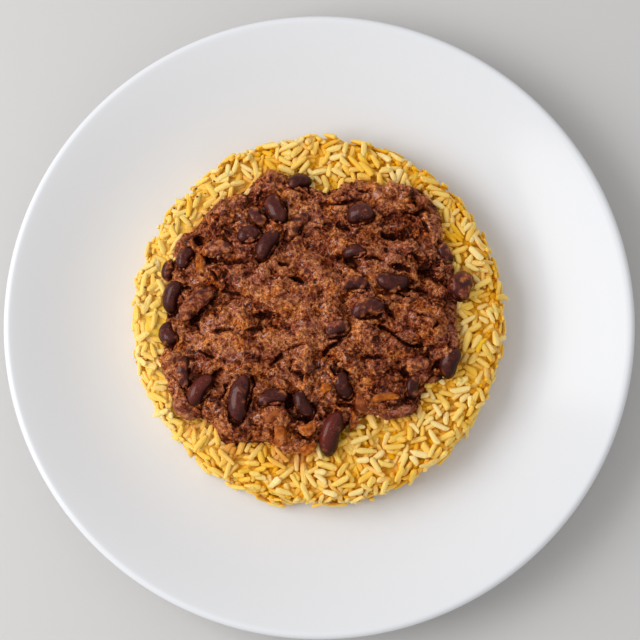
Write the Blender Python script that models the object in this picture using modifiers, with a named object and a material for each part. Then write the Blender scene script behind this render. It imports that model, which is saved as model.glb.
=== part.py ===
"""A plate of chili over rice, in metres with +Z up.

A white coupe plate carries a round moulded bed of yellow rice, and a heap of bean chili lies on
the rice. The origin is the centre of the plate's foot, so the plate stands on z = 0. The heap's
left and right are -X and +X, and the edge nearest the diner is -Y.
"""

import math
import random
from statistics import fmean
from typing import NamedTuple

import bmesh
import bpy
from mathutils import Matrix, Vector, noise
from mathutils.bvhtree import BVHTree

GAP = 0.0003  # clear distance between pieces that touch

# The plate: a flat well, then a sweep that is steepest near the rolled lip.
PLATE_RADIUS = 0.135
PLATE_HEIGHT = 0.025
PLATE_WALL = 0.0045
PLATE_STEPS = 52
WELL_RADIUS = 0.080
WELL_FLOOR = 0.007
SWEEP_EASE = 0.737
SWEEP_POINTS = 5
LIP_RADIUS = 0.0021
LIP_ANGLES = (110, 50, -10, -70)
OUTER_RADII = (0.130, 0.116, 0.098)
FOOT_RADIUS = 0.074
FOOT_WIDTH = 0.006
FOOT_DRAFT = 0.0006
FOOT_RECESS = 0.0022

# The rice: a moulded disc whose side has slumped outwards a little.
RICE_CENTRE = Vector((-0.0014, 0.0012, 0.0))
RICE_BASE = WELL_FLOOR + GAP
RICE_TOP = 0.024
RICE_TOP_RADIUS = 0.0772
RICE_BASE_RADIUS = 0.0780
RICE_SHOULDER = 0.004
RICE_STEPS = 48
RICE_TURN = math.radians(45)
RICE_UNEVEN = 0.0007
RICE_UNEVEN_SCALE = 90.0
RICE_COVERED_RADIUS = 0.040

# Grains of rice are bumps of a grain's size on the open skin, each with three long sides.
GRAIN_LENGTH = 0.0080
GRAIN_WIDTH = 0.0026
GRAIN_PROUD = 0.0002
GRAIN_SPACING = 0.0062
GRAIN_TRIES = 9000
GRAIN_TILT = 0.10
GRAIN_SIZES = (0.85, 1.12)
GRAIN_SEED = 11
GRAIN_STATIONS = (-1.0, -0.5, 0.0, 0.5, 1.0)

# The heap of chili: its edge every 7.5 degrees from +X, and the height of its edge and crown.
HEAP_BASE = RICE_TOP + GAP
EDGE_RADII = (
    0.0580, 0.0595, 0.0600, 0.0620, 0.0615, 0.0665, 0.0705, 0.0715,
    0.0680, 0.0640, 0.0635, 0.0580, 0.0570, 0.0595, 0.0655, 0.0670,
    0.0650, 0.0670, 0.0670, 0.0665, 0.0695, 0.0680, 0.0660, 0.0650,
    0.0650, 0.0660, 0.0695, 0.0695, 0.0705, 0.0660, 0.0635, 0.0660,
    0.0605, 0.0565, 0.0580, 0.0560, 0.0535, 0.0500, 0.0465, 0.0450,
    0.0465, 0.0520, 0.0565, 0.0545, 0.0545, 0.0600, 0.0615, 0.0595,
)
SHOULDER_WIDTH = 0.0060
SHOULDER_HEIGHT = 0.0066
CROWN_HEIGHT = 0.0046
CLUMP_RELIEF = 0.0070
CLUMP_SCALE = 80.0
CLUMP_MIDDLE = 0.25
HEAP_SIDES = 6
HEAP_CUTS = 12

# Vegetable pieces are cut blocks with soft edges.
CHUNK_EDGE = 0.0009
CHUNK_TAPER = 0.25

# Beans are ovals, bent along their length, with a shallow notch in the hollow side.
BEAN_SIDES = (6, 5)
BEAN_FLATNESS = 0.86
BEAN_BEND = 0.14
BEND_CENTRE = 0.4
BEAN_NOTCH = 0.07
NOTCH_LENGTH = 0.35
SLOPE_LIMIT = math.radians(28)


class Lump(NamedTuple):
    """A clump of mince on the heap, or a hollow where rise is negative."""

    x: float
    y: float
    radius: float
    rise: float


class Bean(NamedTuple):
    """A bean: its middle, the way it points in degrees from +X, its size, and the share of its
    thickness that stands out of the sauce."""

    x: float
    y: float
    heading: float
    length: float
    width: float
    proud: float


class Chunk(NamedTuple):
    """A piece of cooked vegetable: its middle, heading, length, width, thickness and how far it
    stands out of the sauce, as a share of its thickness."""

    x: float
    y: float
    heading: float
    length: float
    width: float
    thickness: float
    proud: float


LUMPS = (
    Lump(-0.022, 0.059, 0.007, 0.0030),
    Lump(-0.040, 0.044, 0.009, 0.0030),
    Lump(-0.054, 0.037, 0.005, 0.0020),
    Lump(-0.037, 0.020, 0.010, 0.0030),
    Lump(0.005, 0.051, 0.008, 0.0015),
    Lump(0.028, 0.048, 0.008, 0.0030),
    Lump(0.041, 0.048, 0.008, 0.0020),
    Lump(0.048, 0.040, 0.007, 0.0030),
    Lump(0.038, 0.028, 0.009, 0.0030),
    Lump(0.050, 0.022, 0.006, 0.0025),
    Lump(0.021, 0.021, 0.007, 0.0020),
    Lump(-0.004, 0.011, 0.010, 0.0030),
    Lump(-0.020, 0.004, 0.008, 0.0025),
    Lump(-0.036, -0.012, 0.009, 0.0020),
    Lump(0.038, 0.008, 0.007, 0.0025),
    Lump(0.048, 0.002, 0.007, 0.0020),
    Lump(0.051, -0.008, 0.007, 0.0025),
    Lump(0.026, -0.024, 0.010, 0.0025),
    Lump(-0.036, -0.050, 0.008, 0.0030),
    Lump(-0.008, -0.012, 0.009, 0.0015),
    Lump(0.011, -0.015, 0.008, 0.0020),
    Lump(-0.064, -0.017, 0.004, 0.0020),
    Lump(0.033, 0.037, 0.005, -0.0050),
    Lump(0.043, 0.016, 0.005, -0.0050),
    Lump(0.009, 0.045, 0.004, -0.0030),
    Lump(-0.026, -0.002, 0.004, -0.0040),
    Lump(-0.010, 0.018, 0.004, -0.0030),
    Lump(-0.043, -0.004, 0.004, -0.0030),
    Lump(-0.045, -0.031, 0.004, -0.0040),
    Lump(0.042, -0.012, 0.004, -0.0050),
    Lump(0.031, -0.007, 0.004, -0.0040),
    Lump(-0.012, -0.023, 0.004, -0.0030),
)

BEANS = {
    "bean_top_edge": Bean(-0.0086, 0.0598, 18, 0.0116, 0.0074, 0.60),
    "bean_glossy": Bean(-0.0185, 0.0472, 114, 0.0141, 0.0078, 0.62),
    "bean_glossy_mate": Bean(-0.0266, 0.0438, 130, 0.0104, 0.0064, 0.45),
    "bean_dark_left": Bean(-0.0302, 0.0356, 15, 0.0104, 0.0072, 0.50),
    "bean_slant_a": Bean(-0.0223, 0.0312, 56, 0.0148, 0.0074, 0.62),
    "bean_slant_b": Bean(-0.0097, 0.0396, 55, 0.0142, 0.0064, 0.42),
    "bean_upper_right": Bean(0.0174, 0.0445, 10, 0.0124, 0.0090, 0.55),
    "bean_sunk_mid": Bean(0.0145, 0.0281, 10, 0.0098, 0.0062, 0.34),
    "bean_right_edge_high": Bean(0.0537, 0.0290, 120, 0.0102, 0.0060, 0.40),
    "bean_left_high": Bean(-0.0574, 0.0262, 60, 0.0102, 0.0064, 0.50),
    "bean_left_high_back": Bean(-0.0646, 0.0215, 80, 0.0094, 0.0054, 0.60),
    "bean_left_mid": Bean(-0.0626, 0.0096, 76, 0.0148, 0.0078, 0.60),
    "bean_left_covered": Bean(-0.0527, 0.0060, 45, 0.0190, 0.0078, 0.55),
    "bean_left_low": Bean(-0.0643, -0.0062, 105, 0.0112, 0.0078, 0.60),
    "bean_left_top_covered": Bean(-0.0433, 0.0294, 5, 0.0128, 0.0066, 0.45),
    "bean_low_left_upright": Bean(-0.0575, -0.0228, 92, 0.0136, 0.0058, 0.45),
    "bean_low_left_red": Bean(-0.0503, -0.0306, 55, 0.0152, 0.0074, 0.65),
    "bean_low_left_edge": Bean(-0.0562, -0.0385, 150, 0.0130, 0.0066, 0.50),
    "bean_kidney_left": Bean(-0.0336, -0.0345, 81, 0.0202, 0.0090, 0.62),
    "bean_kidney_flat": Bean(-0.0198, -0.0342, 12, 0.0132, 0.0072, 0.55),
    "bean_dark_low": Bean(-0.0068, -0.0368, 115, 0.0126, 0.0068, 0.50),
    "bean_wrinkled": Bean(0.0102, -0.0290, 110, 0.0120, 0.0072, 0.45),
    "bean_kidney_front": Bean(0.0052, -0.0492, 76, 0.0200, 0.0092, 0.70),
    "bean_black_right": Bean(0.0396, -0.0290, 85, 0.0102, 0.0060, 0.45),
    "bean_knob_right": Bean(0.0415, -0.0196, 20, 0.0096, 0.0060, 0.45),
    "bean_right_low": Bean(0.0556, -0.0190, 70, 0.0142, 0.0084, 0.50),
    "bean_low_right_edge": Bean(0.0326, -0.0396, 10, 0.0142, 0.0060, 0.45),
    "bean_mid_a": Bean(0.0148, 0.0141, 3, 0.0126, 0.0066, 0.42),
    "bean_mid_b": Bean(0.0204, 0.0036, 15, 0.0148, 0.0084, 0.50),
    "bean_mid_c": Bean(0.0076, -0.0048, 20, 0.0106, 0.0072, 0.42),
    "bean_right_mid": Bean(0.0311, 0.0153, 175, 0.0146, 0.0084, 0.55),
    "bean_right_round": Bean(0.0605, 0.0142, 75, 0.0134, 0.0106, 0.55),
}

CHUNKS = {
    "tomato_front": Chunk(-0.0046, -0.0549, 30, 0.0076, 0.0062, 0.0046, 0.60),
    "tomato_corner": Chunk(-0.0168, -0.0500, 100, 0.0100, 0.0068, 0.0046, 0.60),
    "tomato_sunk": Chunk(-0.0046, -0.0468, 20, 0.0074, 0.0054, 0.0042, 0.50),
    "onion_folded": Chunk(-0.0190, -0.0420, 8, 0.0096, 0.0056, 0.0042, 0.55),
    "onion_slab": Chunk(0.0185, -0.0363, 105, 0.0090, 0.0064, 0.0042, 0.55),
    "pepper_bit": Chunk(0.0030, -0.0302, 20, 0.0050, 0.0046, 0.0040, 0.55),
    "pepper_long": Chunk(0.0275, -0.0340, 10, 0.0126, 0.0044, 0.0040, 0.50),
    "pepper_left": Chunk(-0.0508, 0.0236, 100, 0.0084, 0.0048, 0.0042, 0.55),
    "tomato_skin": Chunk(0.0144, -0.0436, 88, 0.0088, 0.0036, 0.0038, 0.60),
}


def finish(name, colour, roughness):
    """A plain material of one colour and roughness."""
    material = bpy.data.materials.new(name)
    material.use_nodes = True
    shader = material.node_tree.nodes["Principled BSDF"]
    shader.inputs["Base Color"].default_value = (*colour, 1.0)
    shader.inputs["Roughness"].default_value = roughness
    shader.inputs["Metallic"].default_value = 0.0
    return material


def place(name, mesh, material, collection):
    """A new object that shows the mesh in the collection."""
    piece = bpy.data.objects.new(name, mesh)
    if material:
        mesh.materials.append(material)
    collection.objects.link(piece)
    return piece


def settled_mesh(piece):
    """The mesh of the piece with its modifiers applied."""
    graph = bpy.context.evaluated_depsgraph_get()
    return bpy.data.meshes.new_from_object(piece.evaluated_get(graph))


def settle(piece):
    """Replaces the piece's mesh with its modified mesh, and drops the modifiers."""
    mesh = settled_mesh(piece)
    piece.modifiers.clear()
    piece.data = mesh


def shade(mesh, sharp_above):
    """Smooth shading, except at edges sharper than the angle in degrees."""
    mesh.shade_smooth()
    mesh.set_sharp_from_angle(angle=math.radians(sharp_above))


def turned(name, profile, steps, material, collection):
    """A piece turned about Z from its profile of (radius, height) points."""
    mesh = bpy.data.meshes.new(name)
    points = [(radius, 0.0, height) for radius, height in profile]
    mesh.from_pydata(points, [(k, k + 1) for k in range(len(points) - 1)], [])
    piece = place(name, mesh, material, collection)
    screw = piece.modifiers.new("turn", "SCREW")
    screw.steps = screw.render_steps = steps
    screw.use_merge_vertices = True
    screw.merge_threshold = 0.0001
    return piece


def body_of(start):
    """Every vertex that edges join to the start vertex."""
    found = {start}
    waiting = [start]
    while waiting:
        for edge in waiting.pop().link_edges:
            for vert in edge.verts:
                if vert not in found:
                    found.add(vert)
                    waiting.append(vert)
    return found


def keep_largest_body(mesh):
    """Drops the loose scraps and sealed hollows that a Boolean leaves."""
    shape = bmesh.new()
    shape.from_mesh(mesh)
    left = set(shape.verts)
    bodies = []
    while left:
        body = body_of(next(iter(left)))
        bodies.append(body)
        left -= body
    largest = max(bodies, key=len)
    scraps = [vert for vert in shape.verts if vert not in largest]
    bmesh.ops.delete(shape, geom=scraps, context="VERTS")
    shape.to_mesh(mesh)
    shape.free()


def combine(piece, collection, operation):
    """Joins or cuts the piece with everything in the collection."""
    boolean = piece.modifiers.new(operation.lower(), "BOOLEAN")
    boolean.operation = operation
    boolean.operand_type = "COLLECTION"
    boolean.collection = collection
    settle(piece)
    keep_largest_body(piece.data)


def empty_out(collection):
    """Removes the collection with everything in it."""
    for helper in list(collection.objects):
        bpy.data.objects.remove(helper)
    bpy.data.collections.remove(collection)


def helper_collection(name):
    """A collection for cutters or for pieces that are about to be joined."""
    collection = bpy.data.collections.new(name)
    bpy.context.scene.collection.children.link(collection)
    return collection


def plate_top(radius):
    """Height of the plate's upper surface at a distance from its centre."""
    sweep_end, sweep_height = lip_point(LIP_ANGLES[0])
    share = max(0.0, (radius - WELL_RADIUS) / (sweep_end - WELL_RADIUS))
    rise = (1 + SWEEP_EASE) * share**2 - SWEEP_EASE * share**3
    return WELL_FLOOR + (sweep_height - WELL_FLOOR) * rise


def lip_point(degrees):
    """The (radius, height) of a point round the rolled lip."""
    turn = math.radians(degrees)
    middle_radius = PLATE_RADIUS - LIP_RADIUS
    middle_height = PLATE_HEIGHT - LIP_RADIUS
    return middle_radius + LIP_RADIUS * math.cos(turn), middle_height + LIP_RADIUS * math.sin(turn)


def plate_profile():
    """The plate's section, from the middle of its well over the lip to the middle of its underside."""
    sweep_end = lip_point(LIP_ANGLES[0])[0]
    profile = [(0.0, WELL_FLOOR)]
    for k in range(SWEEP_POINTS):
        radius = WELL_RADIUS + (sweep_end - WELL_RADIUS) * k / SWEEP_POINTS
        profile.append((radius, plate_top(radius)))
    profile += [lip_point(degrees) for degrees in LIP_ANGLES]
    profile += [(radius, plate_top(radius) - PLATE_WALL) for radius in OUTER_RADII]
    inside = FOOT_RADIUS - FOOT_WIDTH
    profile += [
        (WELL_RADIUS, WELL_FLOOR - PLATE_WALL),
        (FOOT_RADIUS, WELL_FLOOR - PLATE_WALL),
        (FOOT_RADIUS - FOOT_DRAFT, 0.0),
        (inside, 0.0),
        (inside - FOOT_DRAFT, FOOT_RECESS),
        (0.0, FOOT_RECESS),
    ]
    return profile


def heap_edge(angle):
    """Distance from the origin to the heap's edge, smooth through EDGE_RADII."""
    step = 2 * math.pi / len(EDGE_RADII)
    index, share = divmod((angle % (2 * math.pi)) / step, 1.0)
    before, here, after, beyond = (EDGE_RADII[(int(index) + k) % len(EDGE_RADII)] for k in (-1, 0, 1, 2))
    slope_here = (after - before) / 2
    slope_after = (beyond - here) / 2
    return (
        here * (2 * share**3 - 3 * share**2 + 1)
        + slope_here * (share**3 - 2 * share**2 + share)
        + after * (3 * share**2 - 2 * share**3)
        + slope_after * (share**3 - share**2)
    )


def heap_height(x, y):
    """Height of the heap's surface above its underside."""
    edge = heap_edge(math.atan2(y, x))
    reach = math.hypot(x, y)
    inward = min(1.0, max(0.0, (edge - reach) / SHOULDER_WIDTH))
    shoulder = math.sqrt(1 - (1 - inward) ** 2)
    height = SHOULDER_HEIGHT + CROWN_HEIGHT * max(0.0, 1 - (reach / edge) ** 2)
    for lump in LUMPS:
        away = ((x - lump.x) ** 2 + (y - lump.y) ** 2) / lump.radius**2
        height += lump.rise * math.exp(-away)
    height += CLUMP_RELIEF * (abs(noise.noise(Vector((x, y, 0.0)) * CLUMP_SCALE)) - CLUMP_MIDDLE)
    return height * shoulder


def heap_mesh():
    """The heap: an even six-sided net of triangles laid over it, closed by a flat underside."""
    shape = bmesh.new()
    bmesh.ops.create_circle(shape, cap_ends=True, cap_tris=True, segments=HEAP_SIDES, radius=1.0)
    bmesh.ops.subdivide_edges(shape, edges=shape.edges, cuts=HEAP_CUTS, use_grid_fill=True)
    bmesh.ops.triangulate(shape, faces=shape.faces)
    rim = [edge for edge in shape.edges if edge.is_boundary]
    half_side = math.pi / HEAP_SIDES
    for vert in shape.verts:
        angle = math.atan2(vert.co.y, vert.co.x)
        off_side = ((angle + half_side) % (2 * half_side)) - half_side
        side = math.cos(half_side) / math.cos(off_side)
        reach = heap_edge(angle) * vert.co.length / side
        x, y = reach * math.cos(angle), reach * math.sin(angle)
        vert.co = (x, y, HEAP_BASE + (0.0 if vert.is_boundary else heap_height(x, y)))
    bmesh.ops.holes_fill(shape, edges=rim)
    bmesh.ops.recalc_face_normals(shape, faces=shape.faces)
    mesh = bpy.data.meshes.new("chili")
    shape.to_mesh(mesh)
    shape.free()
    return mesh


def bean_mesh(name, bean, swell):
    """A kidney-shaped bean about the origin, swollen on every side by the given distance."""
    shape = bmesh.new()
    lengthwise = Matrix.Rotation(math.pi / 2, 4, "Y")
    around, along = BEAN_SIDES
    bmesh.ops.create_uvsphere(
        shape, u_segments=around, v_segments=along, radius=1.0, matrix=lengthwise
    )
    half_length = bean.length / 2 + swell
    half_width = bean.width / 2 + swell
    half_thickness = bean.width * BEAN_FLATNESS / 2 + swell
    for vert in shape.verts:
        share, aside, up = vert.co
        hollow = max(0.0, -aside) * math.exp(-((share / NOTCH_LENGTH) ** 2))
        shift = bean.width * (BEAN_NOTCH * hollow - BEAN_BEND * (share**2 - BEND_CENTRE))
        vert.co = (share * half_length, aside * half_width + shift, up * half_thickness)
    mesh = bpy.data.meshes.new(name)
    shape.to_mesh(mesh)
    shape.free()
    shade(mesh, 60)
    return mesh


def chunk_mesh(name, chunk, swell):
    """A cut block of vegetable, narrower at one end, with soft edges."""
    shape = bmesh.new()
    bmesh.ops.create_cube(shape, size=1.0)
    for vert in shape.verts:
        narrowing = 1 - CHUNK_TAPER * (vert.co.x + 0.5)
        vert.co.x *= chunk.length + 2 * swell
        vert.co.y *= chunk.width * narrowing + 2 * swell
        vert.co.z *= chunk.thickness + 2 * swell
    bmesh.ops.bevel(
        shape, geom=shape.edges, offset=CHUNK_EDGE, segments=1, affect="EDGES", profile=0.5
    )
    mesh = bpy.data.meshes.new(name)
    shape.to_mesh(mesh)
    shape.free()
    return mesh


def lying(item, thickness):
    """The matrix of a topping that lies along the heap's slope at its place."""
    heading = math.radians(item.heading)
    ahead = Vector((math.cos(heading), math.sin(heading))) * item.length / 2
    aside = Vector((-math.sin(heading), math.cos(heading))) * item.width / 2
    middle = Vector((item.x, item.y))
    front, back, left, right = (heap_height(*(middle + step)) for step in (ahead, -ahead, aside, -aside))
    pitch = max(-SLOPE_LIMIT, min(SLOPE_LIMIT, math.atan2(front - back, item.length)))
    roll = max(-SLOPE_LIMIT, min(SLOPE_LIMIT, math.atan2(left - right, item.width)))
    bed = fmean((front, back, left, right, heap_height(*middle)))
    height = HEAP_BASE + bed + thickness * (item.proud - 0.5)
    turn = Matrix.Rotation(heading, 4, "Z") @ Matrix.Rotation(-pitch, 4, "Y") @ Matrix.Rotation(roll, 4, "X")
    return Matrix.Translation((item.x, item.y, height)) @ turn


def lifted_clear(matrix, mesh):
    """The matrix raised where needed, so that the mesh's lowest point clears the rice."""
    lowest = min((matrix @ vert.co).z for vert in mesh.vertices)
    return Matrix.Translation((0.0, 0.0, max(0.0, HEAP_BASE - lowest))) @ matrix


def add_topping(name, item, maker, thickness, material, parts, cutters):
    """Places one bean or chunk, with the slightly larger cutter that makes its socket."""
    mesh = maker(name, item, 0.0)
    piece = place(name, mesh, material, parts)
    piece.matrix_world = lifted_clear(lying(item, thickness), mesh)
    cutter = place(name + "_socket", maker(name + "_socket", item, GAP), None, cutters)
    cutter.matrix_world = piece.matrix_world
    cutter.hide_render = True
    cutter.display_type = "WIRE"
    return piece


def rice_profile():
    """The bare rice core's section, from the middle of its top to the middle of its underside."""
    turn = RICE_SHOULDER * (1 - math.cos(RICE_TURN))
    lean = (RICE_BASE_RADIUS - RICE_TOP_RADIUS) / (RICE_TOP - RICE_BASE)
    low_shoulder = RICE_TOP - RICE_SHOULDER
    profile = [
        (0.0, RICE_TOP),
        (RICE_COVERED_RADIUS, RICE_TOP),
        (RICE_TOP_RADIUS - 4 * RICE_SHOULDER, RICE_TOP),
        (RICE_TOP_RADIUS - RICE_SHOULDER, RICE_TOP),
        (RICE_TOP_RADIUS - turn, RICE_TOP - turn),
        (RICE_TOP_RADIUS + lean * RICE_SHOULDER, low_shoulder),
        ((RICE_TOP_RADIUS + RICE_BASE_RADIUS) / 2, (low_shoulder + RICE_BASE) / 2),
        (RICE_BASE_RADIUS, RICE_BASE + RICE_SHOULDER / 4),
        (RICE_BASE_RADIUS - RICE_SHOULDER / 2, RICE_BASE),
        (0.0, RICE_BASE),
    ]
    return profile


def uneven(point):
    """Where a point of the rice core lies once its open part is uneven. Its top is never raised."""
    reach = math.hypot(point.x, point.y)
    if reach <= RICE_COVERED_RADIUS + GAP or point.z < RICE_BASE + GAP:
        return point
    swell = RICE_UNEVEN * noise.noise(point * RICE_UNEVEN_SCALE)
    outward = Vector((point.x, point.y, 0.0)) / reach
    sink = abs(swell) if point.z > RICE_TOP - GAP else 0.0
    return point + outward * swell - Vector((0.0, 0.0, sink))


def skin_point(share, angle):
    """A point on the open rice skin, its outward normal and the way down it.

    The share runs from 0, where the heap covers the top, to 1 at the foot of the side.
    """
    points = [Vector((radius, height)) for radius, height in rice_profile()[1:-2]]
    lengths = [(after - before).length for before, after in zip(points, points[1:])]
    left = share * sum(lengths)
    for before, after, length in zip(points, points[1:], lengths):
        if left <= length:
            break
        left -= length
    down = (after - before).normalized()
    radius, height = before + down * min(left, length)
    outward = Vector((math.cos(angle), math.sin(angle), 0.0))
    up = Vector((0.0, 0.0, 1.0))
    point = RICE_CENTRE + uneven(outward * radius + up * height)
    return point, outward * -down.y + up * down.x, outward * down.x + up * down.y


def grain_matrix(point, normal, down, draw):
    """A grain lying on the skin at a drawn angle, sunk to about half its thickness, ridge up.

    The matrix takes a unit sphere's X to the way up from the skin and its Z to the grain's length.
    """
    turn = draw.uniform(0.0, math.pi)
    along = math.cos(turn) * down + math.sin(turn) * normal.cross(down)
    along = (along + normal * draw.uniform(-GRAIN_TILT, GRAIN_TILT)).normalized()
    across = along.cross(normal).normalized()
    lean = Matrix((across.cross(along), across, along)).transposed().to_4x4()
    half_length = draw.uniform(*GRAIN_SIZES) * GRAIN_LENGTH / 2
    stretch = Matrix.Diagonal((GRAIN_WIDTH / 2, GRAIN_WIDTH / 2, half_length, 1.0))
    return Matrix.Translation(point + normal * GRAIN_PROUD) @ lean @ stretch


def grain_is_clear(matrix, toppings):
    """Whether a grain stays off the plate, the heap and the toppings on it."""
    reach = GRAIN_WIDTH / 2 + 2 * GAP
    for share in GRAIN_STATIONS:
        point = matrix @ Vector((0.0, 0.0, share))
        if math.hypot(point.x, point.y) < heap_edge(math.atan2(point.y, point.x)) + reach:
            if point.z > RICE_TOP - RICE_SHOULDER:
                return False
        if toppings.find_nearest(point, reach)[0] is not None:
            return False
        if point.z - GRAIN_WIDTH / 2 < plate_top(math.hypot(point.x, point.y) + GRAIN_WIDTH / 2) + GAP:
            return False
    return True


def scatter_grains(toppings, collection):
    """Lays rice grains over the open skin, evenly spread, each with few sides."""
    draw = random.Random(GRAIN_SEED)
    taken = []
    for _ in range(GRAIN_TRIES):
        point, normal, down = skin_point(draw.random(), draw.uniform(0.0, 2 * math.pi))
        matrix = grain_matrix(point, normal, down, draw)
        if any((point - other).length < GRAIN_SPACING for other in taken):
            continue
        if not grain_is_clear(matrix, toppings):
            continue
        taken.append(point)
        shape = bmesh.new()
        bmesh.ops.create_uvsphere(shape, u_segments=3, v_segments=3, radius=1.0, matrix=matrix)
        mesh = bpy.data.meshes.new("grain")
        shape.to_mesh(mesh)
        shape.free()
        place("grain", mesh, None, collection)


def toppings_tree(pieces):
    """One search tree over the surfaces of all the given pieces."""
    points = []
    faces = []
    for piece in pieces:
        start = len(points)
        points += [piece.matrix_world @ vert.co for vert in piece.data.vertices]
        faces += [[start + k for k in face.vertices] for face in piece.data.polygons]
    return BVHTree.FromPolygons(points, faces)


def build():
    """Builds the plate, the toppings, the heap with a socket for each topping, and the rice."""
    for leftover in list(bpy.data.objects):
        bpy.data.objects.remove(leftover)
    parts = helper_collection("plate_of_chili_over_rice")
    cutters = helper_collection("cutters")
    glaze = finish("white_glaze", (0.80, 0.80, 0.80), 0.12)
    grain = finish("yellow_rice", (0.87, 0.60, 0.14), 0.45)
    sauce = finish("chili_mince", (0.22, 0.075, 0.03), 0.5)
    skin = finish("bean_skin", (0.07, 0.025, 0.025), 0.3)
    flesh = finish("cooked_vegetable", (0.42, 0.12, 0.03), 0.35)

    plate = turned("plate", plate_profile(), PLATE_STEPS, glaze, parts)
    settle(plate)
    shade(plate.data, 50)

    toppings = []
    for name, bean in BEANS.items():
        thickness = bean.width * BEAN_FLATNESS
        toppings.append(add_topping(name, bean, bean_mesh, thickness, skin, parts, cutters))
    for name, chunk in CHUNKS.items():
        toppings.append(add_topping(name, chunk, chunk_mesh, chunk.thickness, flesh, parts, cutters))

    chili = place("chili", heap_mesh(), sauce, parts)
    bpy.context.view_layer.update()
    combine(chili, cutters, "DIFFERENCE")
    shade(chili.data, 60)

    rice = turned("rice", rice_profile(), RICE_STEPS, grain, parts)
    rice.location = RICE_CENTRE
    settle(rice)
    for vert in rice.data.vertices:
        vert.co = uneven(vert.co)
    grains = helper_collection("grains")
    scatter_grains(toppings_tree([chili, *toppings]), grains)
    bpy.context.view_layer.update()
    combine(rice, grains, "UNION")
    empty_out(grains)
    shade(rice.data, 60)


build()
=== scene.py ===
"""A plate of chili over rice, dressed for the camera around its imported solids.

Everything is in metres with +Z up. The origin is the centre of the plate's foot, -Y is the side
nearest the diner, and -X and +X are the dish's left and right.
"""

from __future__ import annotations

import logging
import math
from dataclasses import dataclass
from enum import Enum
from typing import NamedTuple, Union

import bpy
import numpy as np
from mathutils import Matrix, Vector, noise

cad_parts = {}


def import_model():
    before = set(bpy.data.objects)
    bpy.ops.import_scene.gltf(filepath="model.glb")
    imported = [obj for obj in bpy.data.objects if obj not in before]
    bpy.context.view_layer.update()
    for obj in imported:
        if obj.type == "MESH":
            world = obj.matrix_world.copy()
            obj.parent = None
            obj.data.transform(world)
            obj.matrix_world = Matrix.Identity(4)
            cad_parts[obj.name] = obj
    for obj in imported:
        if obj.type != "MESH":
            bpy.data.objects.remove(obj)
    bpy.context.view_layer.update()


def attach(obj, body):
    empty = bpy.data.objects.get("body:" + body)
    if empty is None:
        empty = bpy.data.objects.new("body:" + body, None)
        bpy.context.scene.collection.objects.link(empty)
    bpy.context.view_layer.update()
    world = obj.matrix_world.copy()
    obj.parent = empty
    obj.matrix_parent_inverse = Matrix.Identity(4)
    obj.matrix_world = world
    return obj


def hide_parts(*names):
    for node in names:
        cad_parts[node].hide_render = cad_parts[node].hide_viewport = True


LOG = logging.getLogger("plate_of_chili_over_rice")
DRIFT_SEED = 1
UP = np.array((0.0, 0.0, 1.0))
FULL_TURN = 2 * math.pi

Colour = tuple[float, float, float]


# ------------ shader trees


class Link:
    """A socket of a shader tree. Arithmetic on it adds Math or Vector Math nodes."""

    def __init__(self, shader: Shader, socket: bpy.types.NodeSocket) -> None:
        """Keeps the socket with the shader it belongs to."""
        self.shader = shader
        self.socket = socket

    def _joined(self, other: Input, operation: str, flipped: bool = False) -> Link:
        """Adds the node for one arithmetic sign.

        Args:
            other: The value, colour or link on the other side of the sign.
            operation: The node's operation.
            flipped: Whether the other side comes first.

        Returns:
            The result.
        """
        pair = (other, self) if flipped else (self, other)
        wide = any(is_wide(side) for side in pair)
        kind = "ShaderNodeVectorMath" if wide else "ShaderNodeMath"
        return self.shader.node(kind, {"operation": operation}, {0: pair[0], 1: pair[1]})

    def __add__(self, other: Input) -> Link:
        """Sum."""
        return self._joined(other, "ADD")

    __radd__ = __add__

    def __sub__(self, other: Input) -> Link:
        """Difference."""
        return self._joined(other, "SUBTRACT")

    def __rsub__(self, other: Input) -> Link:
        """Difference, the other way round."""
        return self._joined(other, "SUBTRACT", flipped=True)

    def __mul__(self, other: Input) -> Link:
        """Product."""
        return self._joined(other, "MULTIPLY")

    __rmul__ = __mul__

    def clamped(self) -> Link:
        """The value kept between 0 and 1."""
        return self.shader.node("ShaderNodeClamp", {}, {"Value": self})


Input = Union[Link, float, Colour]


def is_wide(side: Input) -> bool:
    """Whether one side of an expression is a colour or a vector.

    Args:
        side: The value, colour or link.

    Returns:
        True where it has more than one number.
    """
    if isinstance(side, Link):
        return side.socket.type in ("RGBA", "VECTOR")
    return not isinstance(side, (int, float))


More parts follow.
